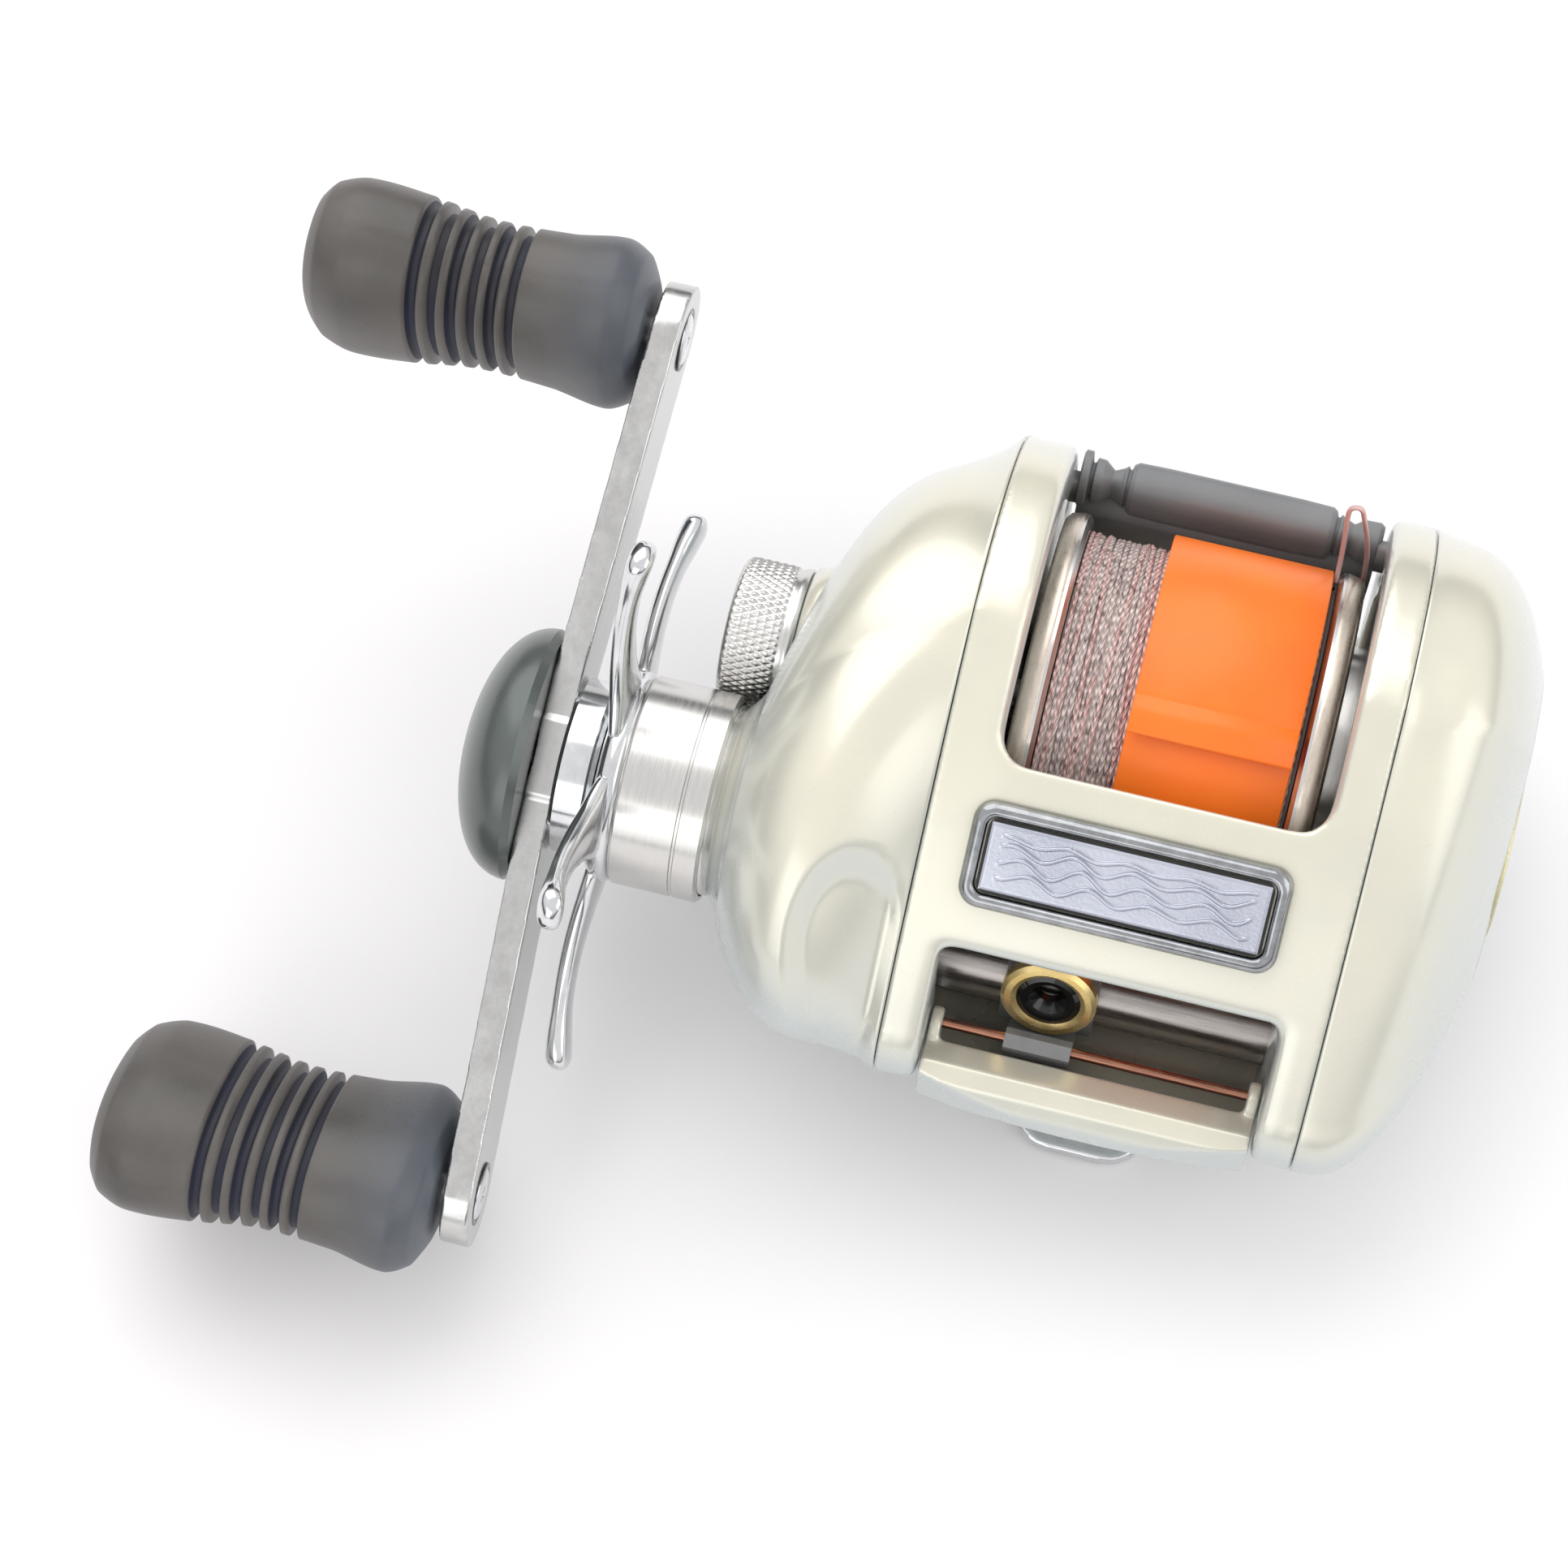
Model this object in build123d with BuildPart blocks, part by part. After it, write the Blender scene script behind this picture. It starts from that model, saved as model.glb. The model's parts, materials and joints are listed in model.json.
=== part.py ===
"""Low-profile baitcasting reel with its drive, brake, clutch and line-guide trains.

Row frame: the origin is the centre of the reel foot's underside.  +Z is up, +X points to the
palm side, -X to the handle side, -Y to the front (the line guide) and +Y to the angler.
"""
import os
from math import acos, atan2, cos, degrees, hypot, pi, radians, sin, sqrt, tan

from build123d import *

os.makedirs("parts", exist_ok=True)

# ---------------------------------------------------------------- driving dimensions (mm)
SPOOL_Y, SPOOL_Z = 4.5, 26.0            # spool axis, a line along X
DRIVE_DY, DRIVE_DZ = -17.5, -0.65      # drive shaft, measured from the spool axis
WORM_DY, WORM_DZ = -23.8, -9.8          # level-wind shaft, measured from the spool axis
BODY_RADIUS = 24.5                      # round back of the side outline
NOSE_REACH = -38.5                      # front of the side outline, from the spool axis
FRAME_HALF = 20.0                       # parting planes at x = -20 and x = +20
HANDLE_WALL = 4.8                       # frame wall beside the spool, handle side
PALM_WALL = 4.3                         # frame wall beside the spool, palm side
WINDOW_HANDLE_X, WINDOW_PALM_X = -17.0, 15.5
COVER_WALL = 1.9
FLANGE_RADIUS = 18.4
FLANGE_THICKNESS = 1.2
LINE_HALF = 12.0                        # half the width of the wound line
LINE_RADIUS = 16.9
ARBOR_RADIUS = 9.5
WELL_CLEARANCE = 1.2                    # flange edge to the frame's round well
SHAFT_RADIUS = 1.5                      # spool shaft
DRIVE_SHAFT_RADIUS = 3.0
ARM_SHAFT_RADIUS = 2.6                  # drive shaft where the handle arm sits
RUNNING = 0.06                          # radial clearance of a shaft in its bore
SEAM = 0.12                             # gap along a visible joint line
MAIN_TEETH, PINION_TEETH = 72, 14
WIND_DRIVE_TEETH, WIND_TEETH = 27, 18
HANDLE_ANGLE = 21.9                     # rest angle of the arm about the drive shaft, degrees
HANDLE_REACH = 42.0                     # drive shaft to knob pin
ARM_THICKNESS = 2.8
ARM_WIDTH = 11.6
ARM_INNER_X = -55.2                     # inner face of the arm at its middle
ARM_FLAT = 8.0                          # half length of the straight middle of the arm
ARM_SWEEP = 1.35                        # how far the ends of the arm lean towards the body
KNOB_LENGTH = 33.6
KNOB_HALF_LONG, KNOB_HALF_SHORT = 11.4, 7.5
FRONT_KNOB_TURN, REAR_KNOB_TURN = 143.0, 98.0
STAR_REACH = 29.5
STAR_TURN = 68.0
FOOT_LENGTH, FOOT_WIDTH, FOOT_HEIGHT, FOOT_TIP = 62.0, 12.8, 3.2, 1.4
TUBE_RADIUS, WORM_RADIUS = 3.5, 2.5
GUIDE_X = -5.5                          # line guide at rest
GUIDE_RING_RADIUS = 4.6
GUIDE_TILT = 22.7                       # the ring looks up by this much, degrees
CLUTCH_TRAVEL = 2.2                     # yoke and pinion slide this far to free the spool
BAR_TRAVEL = 4.5                        # thumb bar travel

SPOOL = (SPOOL_Y, SPOOL_Z)
DRIVE = (SPOOL_Y + DRIVE_DY, SPOOL_Z + DRIVE_DZ)
WORM = (SPOOL_Y + WORM_DY, SPOOL_Z + WORM_DZ)
WELL_RADIUS = FLANGE_RADIUS + WELL_CLEARANCE
WELL_HANDLE_X = -FRAME_HALF + HANDLE_WALL
WELL_PALM_X = FRAME_HALF - PALM_WALL
GEAR_DISTANCE = hypot(DRIVE_DY, DRIVE_DZ)
WIND_DISTANCE = hypot(WORM_DY - DRIVE_DY, WORM_DZ - DRIVE_DZ)
MAIN_MODULE = 2 * GEAR_DISTANCE / (MAIN_TEETH + PINION_TEETH)
WIND_MODULE = 2 * WIND_DISTANCE / (WIND_DRIVE_TEETH + WIND_TEETH)
TO_SPOOL = degrees(atan2(-DRIVE_DZ, -DRIVE_DY))
TO_WORM = degrees(atan2(WORM_DZ - DRIVE_DZ, WORM_DY - DRIVE_DY))


# ---------------------------------------------------------------- shared shapes
def near_spool(dy, dz):
    """A (y, z) point given from the spool axis."""
    return (SPOOL_Y + dy, SPOOL_Z + dz)


def bar(centre, x0, x1, radius, mode=Mode.ADD):
    """A round bar along X from x0 to x1 about the line through centre."""
    with BuildSketch(Plane.YZ.offset(x0)) as disc:
        with Locations(centre):
            Circle(radius)
    extrude(disc.sketch, amount=x1 - x0, mode=mode)


def spin(centre, *profile, mode=Mode.ADD):
    """Turn a closed outline of (x, radius) points about the X line through centre."""
    y, z = centre
    with BuildSketch(Plane((0, y, z), x_dir=(1, 0, 0), z_dir=(0, -1, 0))) as half:
        with BuildLine():
            Polyline(*profile, close=True)
        make_face()
    revolve(half.sketch, axis=Axis((0, y, z), (1, 0, 0)), mode=mode)


def ring(centre, x0, x1, inner, outer):
    """A plain ring along X."""
    spin(centre, (x0, inner), (x1, inner), (x1, outer), (x0, outer))


def slab(x0, x1, *points, mode=Mode.ADD):
    """A plate between two X planes; its outline points are given from the spool axis."""
    with BuildSketch(Plane.YZ.offset(x0)) as plate:
        with BuildLine():
            Polyline(*[near_spool(*point) for point in points], close=True)
        make_face()
    extrude(plate.sketch, amount=x1 - x0, mode=mode)


def sector(x0, x1, inner, outer, start, size):
    """Part of a ring about the spool axis, between two X planes; angles run from +Y to +Z."""
    with BuildSketch(Plane.YZ.offset(x0)) as strip:
        with BuildLine():
            inside = CenterArc(SPOOL, inner, start, size)
            outside = CenterArc(SPOOL, outer, start, size)
            Line(inside @ 0, outside @ 0)
            Line(inside @ 1, outside @ 1)
        make_face()
    extrude(strip.sketch, amount=x1 - x0)


def side_outline(x, front=NOSE_REACH, rear=BODY_RADIUS, low=-BODY_RADIUS, high=BODY_RADIUS, full=0.0):
    """The reel's side outline at one X plane, stretched between four extremes.

    full runs from 0, the lean nose of the frame, to 1, a plain oval.
    """
    grow_y = (rear - front) / (BODY_RADIUS + 39.6)
    grow_z = (high - low) / (2 * BODY_RADIUS)

    def place(dy, dz):
        return near_spool(front + (dy + 39.6) * grow_y, low + (dz + BODY_RADIUS) * grow_z)

    def between(lean, oval):
        return place(*[a + (b - a) * full for a, b in zip(lean, oval)])

    crown = (BODY_RADIUS * cos(radians(100)), BODY_RADIUS * sin(radians(100)))
    sole = (0, -BODY_RADIUS)
    brow, chin = between((-37.2, 0.2), (-36.5, 10.4)), between((-37.4, -9.4), (-36.5, -10.4))
    with BuildSketch(Plane.YZ.offset(x)) as outline:
        with BuildLine():
            ThreePointArc(place(*crown), between((-19, 15.4), (-22.5, 21.6)), brow)
            ThreePointArc(brow, between((-39.6, -4.2), (-39.6, 0.0)), chin)
            ThreePointArc(chin, between((-22, -19.8), (-21.0, -21.9)), place(*sole))
            ThreePointArc(place(*sole), place(BODY_RADIUS, 0), place(*crown))
        make_face()
    return outline.sketch


def gear_points(teeth, module, clocking, backlash=0.10, pressure=25.0):
    """Involute outline of a spur gear with one tooth centred on the clocking angle."""
    pitch = module * teeth / 2
    base = pitch * cos(radians(pressure))
    tip = pitch + 0.9 * module
    root = pitch - 1.2 * module
    start = max(base, root)
    steps = 4

    def involute(radius):
        angle = acos(min(1.0, base / radius))
        return tan(angle) - angle

    flank = [(root, 0.0)] if root < base else []
    flank += [(start + (tip - start) * k / steps, 0.0) for k in range(steps + 1)]
    half_pitch = pi / (2 * teeth) - backlash / (2 * pitch) + involute(pitch)
    points = []
    for tooth in range(teeth):
        centre = radians(clocking) + 2 * pi * tooth / teeth
        rising = [(radius, centre - half_pitch + involute(max(radius, base))) for radius, _ in flank]
        falling = [(radius, 2 * centre - angle) for radius, angle in reversed(rising)]
        points += [(radius * cos(angle), radius * sin(angle)) for radius, angle in rising + falling]
    return points


def gear(centre, x0, x1, teeth, module, clocking, mode=Mode.ADD):
    """A spur gear between two X planes."""
    with BuildSketch(Plane.YZ.offset(x0)) as blank:
        with BuildLine():
            Polyline(*[(centre[0] + y, centre[1] + z) for y, z in gear_points(teeth, module, clocking)],
                     close=True)
        make_face()
    extrude(blank.sketch, amount=x1 - x0, mode=mode)


def keep(part, label):
    """Name a finished piece and write it."""
    part.label = label
    export_step(part, "parts/" + label + ".step")


# ---------------------------------------------------------------- frame casting
HOOD_BACK = -14.6                       # hood's rear edge, from the spool axis
HOOD_FRONT = -29.2                      # hood's front edge, over the line window
OPENING_HANDLE_X, OPENING_PALM_X = -14.8, 15.7
OPENING_FLOOR = -13.0
OPENING_CORNER = 2.6
GUARD_HALF = 16.0                       # half length of the nose guard's bay
SCREW_SPOTS = [(13.3, -16.6), (-13.6, -16.6), (-20.0, 8.6)]
SCREW_RADIUS, SCREW_HEAD_RADIUS = 1.1, 1.9
SHAFT_BEARING_RADIUS = 4.5
SPOOL_BEARING_RADIUS = 5.0
BAR_TAB_IN, BAR_TAB_OUT = 20.0, 21.2    # thumb bar tab, from the spool axis along Y
BAR_TAB_LOW, BAR_TAB_HIGH = 3.0, 7.4
POST_SPOTS = [(0.5, 9.0), (0.5, -9.0)]
POST_RADIUS = 1.1
RIVET_SPOTS = [(-3.2, -9.0), (3.2, -9.0), (-3.2, 9.0), (3.2, 9.0)]
RIVET_RADIUS = 1.2

with BuildPart() as frame_casting:
    extrude(side_outline(-FRAME_HALF), amount=2 * FRAME_HALF)
    bar(SPOOL, WELL_HANDLE_X, FRAME_HALF, WELL_RADIUS, Mode.SUBTRACT)
    # the angler's thumb reaches the spool through this opening, which runs down the back
    with BuildSketch(Plane.XY.offset(SPOOL_Z + OPENING_FLOOR)) as opening:
        with Locations(((OPENING_HANDLE_X + OPENING_PALM_X) / 2, SPOOL_Y + HOOD_BACK + 25)):
            Rectangle(OPENING_PALM_X - OPENING_HANDLE_X, 50)
        fillet(opening.vertices().group_by(Axis.Y)[0], OPENING_CORNER)
    extrude(opening.sketch, amount=50, mode=Mode.SUBTRACT)
    # the bay of the nose guard, open to the front
    with BuildSketch(Plane.XY) as bay:
        with Locations((0, SPOOL_Y + HOOD_FRONT - 10)):
            Rectangle(2 * GUARD_HALF, 20)
    extrude(bay.sketch, amount=60, mode=Mode.SUBTRACT)
    # the room of the level wind, from the window back to the spool well
    slab(WINDOW_HANDLE_X, WINDOW_PALM_X, (HOOD_FRONT - 0.1, 5.4), (-15, 12.4), (-12, 0), (-13, -14.8),
         (-17, -16.4), (-27.5, -15.9), (HOOD_FRONT - 0.1, -13.9), mode=Mode.SUBTRACT)
    # seat of the foot
    with BuildSketch(Plane.XY.offset(-1)) as foot_seat:
        Rectangle(FOOT_WIDTH + 2 * SEAM, 80)
    extrude(foot_seat.sketch, amount=FOOT_HEIGHT + 1, mode=Mode.SUBTRACT)
    with BuildSketch(Plane.XY.offset(FOOT_HEIGHT)) as rivet_holes:
        with Locations(*RIVET_SPOTS):
            Circle(RIVET_RADIUS)
    extrude(rivet_holes.sketch, amount=2.4, mode=Mode.SUBTRACT)
    # bores of the side walls
    bar(DRIVE, -FRAME_HALF, -17.8, SHAFT_BEARING_RADIUS, Mode.SUBTRACT)
    bar(SPOOL, -18.6, WELL_HANDLE_X, SPOOL_BEARING_RADIUS, Mode.SUBTRACT)
    bar(SPOOL, -FRAME_HALF, -18.6, 3.9, Mode.SUBTRACT)
    bar(WORM, -FRAME_HALF, FRAME_HALF - 1.6, TUBE_RADIUS, Mode.SUBTRACT)
    for spot in SCREW_SPOTS:
        bar(near_spool(*spot), -FRAME_HALF, FRAME_HALF, SCREW_RADIUS, Mode.SUBTRACT)
        bar(near_spool(*spot), -18.2, -14.0, SCREW_HEAD_RADIUS + SEAM, Mode.SUBTRACT)
        bar(near_spool(*spot), 14.0, 18.2, SCREW_HEAD_RADIUS + SEAM, Mode.SUBTRACT)
    for spot in POST_SPOTS:
        bar(near_spool(*spot), -FRAME_HALF, -17.5, POST_RADIUS, Mode.SUBTRACT)
    # slots that the thumb bar's tabs slide in
    slab(-FRAME_HALF - 1, WELL_HANDLE_X + 1, (BAR_TAB_IN - 0.2, BAR_TAB_HIGH + 0.2),
         (BAR_TAB_OUT + 0.2, BAR_TAB_HIGH + 0.2), (BAR_TAB_OUT + 0.2, BAR_TAB_LOW - BAR_TRAVEL - 0.2),
         (BAR_TAB_IN - 0.2, BAR_TAB_LOW - BAR_TRAVEL - 0.2), mode=Mode.SUBTRACT)
    slab(OPENING_PALM_X - 1, OPENING_PALM_X + 1.6, (BAR_TAB_IN + 0.2, BAR_TAB_HIGH + 0.2),
         (BAR_TAB_OUT + 0.2, BAR_TAB_HIGH + 0.2), (BAR_TAB_OUT + 0.2, BAR_TAB_LOW - BAR_TRAVEL - 0.2),
         (BAR_TAB_IN + 0.2, BAR_TAB_LOW - BAR_TRAVEL - 0.2), mode=Mode.SUBTRACT)
    # recess of the badge
    BADGE_PLANE = Plane((-0.85, SPOOL_Y - 22.1, SPOOL_Z + 12.9), x_dir=(1, 0, 0), z_dir=(0, -0.573, 0.82))
    BADGE_LENGTH, BADGE_WIDTH, BADGE_CORNER = 28.7, 9.0, 1.6
    with BuildSketch(BADGE_PLANE) as badge_recess:
        RectangleRounded(BADGE_LENGTH + 2 * SEAM, BADGE_WIDTH + 2 * SEAM, BADGE_CORNER)
    extrude(badge_recess.sketch, amount=6, mode=Mode.SUBTRACT)
keep(frame_casting.part, "frame_casting")

# ---------------------------------------------------------------- covers
NECK_RADIUS = 9.0
NECK_END_X = -41.6
CLUTCH_BEARING_RADIUS = 7.0
CAST_NECK_RADIUS, CAST_SPIGOT_RADIUS = 6.3, 5.2
CAST_NECK_X, CAST_SPIGOT_X = -36.3, -41.2
END_BEARING_RADIUS = 4.0
CAST_ROOM_RADIUS = 8.3                  # hollow in the cover around the cast control knob
GEAR_ROOM_RADIUS = 15.4

with BuildPart() as handle_side_cover:
    loft([side_outline(-FRAME_HALF), side_outline(-26.5, -38.2, 19.6, -22.4, 21.8, 0.7),
          side_outline(-33, -36.4, 11.6, -18.6, 17.8, 1.0), side_outline(-37.6, -29.8, -4.6, -12.6, 11.8, 1.0)])
    wall = COVER_WALL
    loft([side_outline(-FRAME_HALF, NOSE_REACH + wall, BODY_RADIUS - wall, wall - BODY_RADIUS, BODY_RADIUS - wall),
          side_outline(-26.5, wall - 38.2, 19.6 - wall, wall - 22.4, 21.8 - wall, 0.6),
          side_outline(-27.9, wall - 37.8, 18.4 - wall, wall - 21.8, 21.0 - wall, 0.7)], mode=Mode.SUBTRACT)
    # slot for the thumb bar's tab
    slab(-21.5, -FRAME_HALF, (BAR_TAB_IN - 0.4, BAR_TAB_HIGH + 0.2), (BAR_TAB_OUT + 0.2, BAR_TAB_HIGH + 0.2),
         (BAR_TAB_OUT + 0.2, BAR_TAB_LOW - BAR_TRAVEL - 0.2),
         (BAR_TAB_IN - 0.4, BAR_TAB_LOW - BAR_TRAVEL - 0.2), mode=Mode.SUBTRACT)
    bar(DRIVE, -31.9, -27.8, GEAR_ROOM_RADIUS, Mode.SUBTRACT)
    bar(SPOOL, -33.8, -27.8, 6.0, Mode.SUBTRACT)
    bar(near_spool(0.5, 9.0), -32.5, -27.8, 2.6, Mode.SUBTRACT)
    bar(near_spool(0.5, -9.0), -32.5, -27.8, 2.6, Mode.SUBTRACT)
    bar(SPOOL, -46, CAST_NECK_X, CAST_ROOM_RADIUS, Mode.SUBTRACT)
    bar(DRIVE, NECK_END_X, -36, NECK_RADIUS)
    bar(DRIVE, -37.6, -31.8, CLUTCH_BEARING_RADIUS, Mode.SUBTRACT)
    bar(DRIVE, NECK_END_X - 1, -37, 4.6, Mode.SUBTRACT)
    bar(SPOOL, CAST_NECK_X, -33.8, CAST_NECK_RADIUS)
    bar(SPOOL, CAST_SPIGOT_X, -36, CAST_SPIGOT_RADIUS)
    bar(SPOOL, -38.0, -33.7, END_BEARING_RADIUS, Mode.SUBTRACT)
    bar(SPOOL, CAST_SPIGOT_X - 1, -38.6, END_BEARING_RADIUS, Mode.SUBTRACT)
    bar(SPOOL, -38.7, -37.9, 2.7, Mode.SUBTRACT)
    for spot in SCREW_SPOTS:
        bar(near_spool(*spot), -22.9, -FRAME_HALF, SCREW_RADIUS + 0.6)
        bar(near_spool(*spot), -22.3, -FRAME_HALF, SCREW_RADIUS, Mode.SUBTRACT)
keep(handle_side_cover.part, "handle_side_cover")

INLAY_HALF_LONG, INLAY_HALF_SHORT, INLAY_THICKNESS = 11.6, 7.8, 0.5
INLAY_CENTRE = (-1.6, 0.4)
PALM_FACE_X = 32.8
with BuildPart() as palm_side_cover:
    loft([side_outline(FRAME_HALF), side_outline(25.5, -36.4, 23.4, -23.2, 23.2),
          side_outline(30.0, -27.5, 19.6, -19.2, 19.4), side_outline(PALM_FACE_X, -17.0, 13.6, -12.4, 12.6)])
    extrude(side_outline(FRAME_HALF, NOSE_REACH + COVER_WALL + 0.6, BODY_RADIUS - COVER_WALL - 0.3,
                         COVER_WALL + 0.3 - BODY_RADIUS, BODY_RADIUS - COVER_WALL - 0.3),
            amount=3.6, mode=Mode.SUBTRACT)
    bar(SPOOL, FRAME_HALF, 28.6, 16.0, Mode.SUBTRACT)
    with BuildSketch(Plane.YZ.offset(PALM_FACE_X)) as inlay_recess:
        with Locations(near_spool(*INLAY_CENTRE)):
            Ellipse(INLAY_HALF_LONG + SEAM, INLAY_HALF_SHORT + SEAM)
    extrude(inlay_recess.sketch, amount=-INLAY_THICKNESS, mode=Mode.SUBTRACT)
    for spot in SCREW_SPOTS:
        bar(near_spool(*spot), FRAME_HALF, 23.6, SCREW_RADIUS + 0.6)
        bar(near_spool(*spot), FRAME_HALF, 22.3, SCREW_RADIUS, Mode.SUBTRACT)
keep(palm_side_cover.part, "palm_side_cover")

with BuildPart() as palm_inlay:
    with BuildSketch(Plane.YZ.offset(PALM_FACE_X - INLAY_THICKNESS)) as inlay_oval:
        with Locations(near_spool(*INLAY_CENTRE)):
            Ellipse(INLAY_HALF_LONG, INLAY_HALF_SHORT)
    extrude(inlay_oval.sketch, amount=INLAY_THICKNESS + 0.3)
    fillet(palm_inlay.edges().group_by(Axis.X)[-1], 0.25)
keep(palm_inlay.part, "palm_inlay")

with BuildPart() as cover_screws:
    for side in (-1, 1):
        for spot in SCREW_SPOTS:
            spin(near_spool(*spot), (side * 22.0, 0), (side * 22.0, SCREW_RADIUS), (side * 18.2, SCREW_RADIUS),
                 (side * 18.2, SCREW_HEAD_RADIUS), (side * 16.9, SCREW_HEAD_RADIUS), (side * 16.9, 0.7),
                 (side * 17.6, 0.7), (side * 17.6, 0))
keep(cover_screws.part, "cover_screws")

# ---------------------------------------------------------------- nose guard and its rod
ROD_DY, ROD_DZ, ROD_RADIUS = -32.2, -6.0, 0.5
EAR_THICKNESS = 1.2
GUARD_FRONT, GUARD_BOW = -40.0, 1.8     # guard's front at its middle, and how far its ends fall back
GUARD_LENGTH = 2 * (GUARD_HALF - SEAM)
with BuildPart() as nose_guard:
    slab(-GUARD_LENGTH / 2, GUARD_LENGTH / 2, (-34.0, -7.6), (-34.1, -5.4), (-36.9, -3.9), (-38.6, -4.4),
         (-39.6, -5.8), (GUARD_FRONT, -7.8), (-38.9, -9.8), (-34.4, -13.4), (HOOD_FRONT - SEAM, -16.4),
         (HOOD_FRONT - SEAM, -14.0), (-33.6, -11.6), (-36.6, -8.8), (-36.4, -7.2))
    # the front edge bows forward in plan
    guard_end_y = SPOOL_Y + GUARD_FRONT + GUARD_BOW
    with BuildSketch(Plane.XY) as bow:
        with BuildLine():
            Line((-GUARD_LENGTH / 2, guard_end_y), (-GUARD_LENGTH / 2, 0))
            Line((-GUARD_LENGTH / 2, 0), (GUARD_LENGTH / 2, 0))
            Line((GUARD_LENGTH / 2, 0), (GUARD_LENGTH / 2, guard_end_y))
            ThreePointArc((GUARD_LENGTH / 2, guard_end_y), (0, SPOOL_Y + GUARD_FRONT),
                          (-GUARD_LENGTH / 2, guard_end_y))
        make_face()
    extrude(bow.sketch, amount=60, mode=Mode.INTERSECT)
    for side in (-1, 1):
        outer = side * GUARD_LENGTH / 2
        inner = outer - side * EAR_THICKNESS
        slab(min(outer, inner), max(outer, inner), (-31.0, -9.6), (-31.0, -4.8), (-31.6, -4.3),
             (-33.2, -4.3), (-34.6, -5.2), (-38.4, -7.6), (-34.0, -11.6))
    bar(near_spool(ROD_DY, ROD_DZ), -GUARD_HALF, GUARD_HALF, ROD_RADIUS, Mode.SUBTRACT)
keep(nose_guard.part, "nose_guard")

with BuildPart() as guide_rod:
    bar(near_spool(ROD_DY, ROD_DZ), -GUARD_LENGTH / 2, GUARD_LENGTH / 2, ROD_RADIUS)
keep(guide_rod.part, "guide_rod")

# ---------------------------------------------------------------- foot and badge
with BuildPart() as reel_foot:
    with BuildSketch(Plane.YZ.offset(-FOOT_WIDTH / 2)) as foot_side:
        with BuildLine():
            Polyline((-FOOT_LENGTH / 2, 0), (FOOT_LENGTH / 2, 0), (FOOT_LENGTH / 2, FOOT_TIP),
                     (17.5, 2.2), (15.5, FOOT_HEIGHT), (-15.5, FOOT_HEIGHT), (-17.5, 2.2),
                     (-FOOT_LENGTH / 2, FOOT_TIP), close=True)
        make_face()
    extrude(foot_side.sketch, amount=FOOT_WIDTH)
    tips = reel_foot.edges().filter_by(Axis.Z)
    fillet(tips.group_by(Axis.Y)[0] + tips.group_by(Axis.Y)[-1], 3.6)
    with BuildSketch(Plane.XY) as foot_holes:
        with Locations(*RIVET_SPOTS):
            Circle(RIVET_RADIUS)
    extrude(foot_holes.sketch, amount=FOOT_HEIGHT, mode=Mode.SUBTRACT)
    with BuildSketch(Plane.XY) as foot_sinks:
        with Locations(*RIVET_SPOTS):
            Circle(2.0)
    extrude(foot_sinks.sketch, amount=1.0, mode=Mode.SUBTRACT)
keep(reel_foot.part, "reel_foot")

with BuildPart() as foot_rivets:
    with BuildSketch(Plane.XY.offset(0.15)) as rivet_heads:
        with Locations(*RIVET_SPOTS):
            Circle(2.0)
    extrude(rivet_heads.sketch, amount=0.85)
    with BuildSketch(Plane.XY.offset(1.0)) as rivet_shanks:
        with Locations(*RIVET_SPOTS):
            Circle(RIVET_RADIUS)
    extrude(rivet_shanks.sketch, amount=4.4)
keep(foot_rivets.part, "foot_rivets")

BADGE_RIM = 1.0
with BuildPart() as badge_rim:
    with BuildSketch(BADGE_PLANE) as rim_outline:
        RectangleRounded(BADGE_LENGTH, BADGE_WIDTH, BADGE_CORNER)
        RectangleRounded(BADGE_LENGTH - 2 * BADGE_RIM, BADGE_WIDTH - 2 * BADGE_RIM, BADGE_CORNER - 0.7,
                         mode=Mode.SUBTRACT)
    extrude(rim_outline.sketch, amount=1.1)
    rim_top = badge_rim.faces().sort_by(Axis(BADGE_PLANE.origin, BADGE_PLANE.z_dir))[-1]
    chamfer(rim_top.outer_wire().edges(), 0.35)
keep(badge_rim.part, "badge_rim")

with BuildPart() as badge_plate:
    with BuildSketch(BADGE_PLANE) as plate_outline:
        RectangleRounded(BADGE_LENGTH - 2 * BADGE_RIM, BADGE_WIDTH - 2 * BADGE_RIM, BADGE_CORNER - 0.7)
    extrude(plate_outline.sketch, amount=0.7)
keep(badge_plate.part, "badge_plate")

# ---------------------------------------------------------------- spool
PIN_X, PIN_RADIUS, PIN_HALF = -20.9, 0.55, 2.6
SHAFT_HANDLE_X, SHAFT_PALM_X = -41.0, 24.4
HUB_X0, HUB_X1 = 14.3, 16.8
PEG_RADIUS = 0.6
BLOCK_RADIUS, BLOCK_IN, BLOCK_OUT = 1.3, 6.6, 9.4
DRUM_IN, DRUM_OUT = 10.4, 11.8
PLATE_RADIUS = 19.3
SPOOL_FACE = LINE_HALF + FLANGE_THICKNESS

with BuildPart() as spool:
    spin(SPOOL, (-SPOOL_FACE, SHAFT_RADIUS), (SPOOL_FACE, SHAFT_RADIUS), (SPOOL_FACE, FLANGE_RADIUS),
         (LINE_HALF + 0.4, FLANGE_RADIUS), (LINE_HALF, FLANGE_RADIUS - 0.5), (LINE_HALF, ARBOR_RADIUS),
         (-LINE_HALF, ARBOR_RADIUS), (-LINE_HALF, FLANGE_RADIUS - 0.5), (-LINE_HALF - 0.4, FLANGE_RADIUS),
         (-SPOOL_FACE, FLANGE_RADIUS))
keep(spool.part, "spool")

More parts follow.
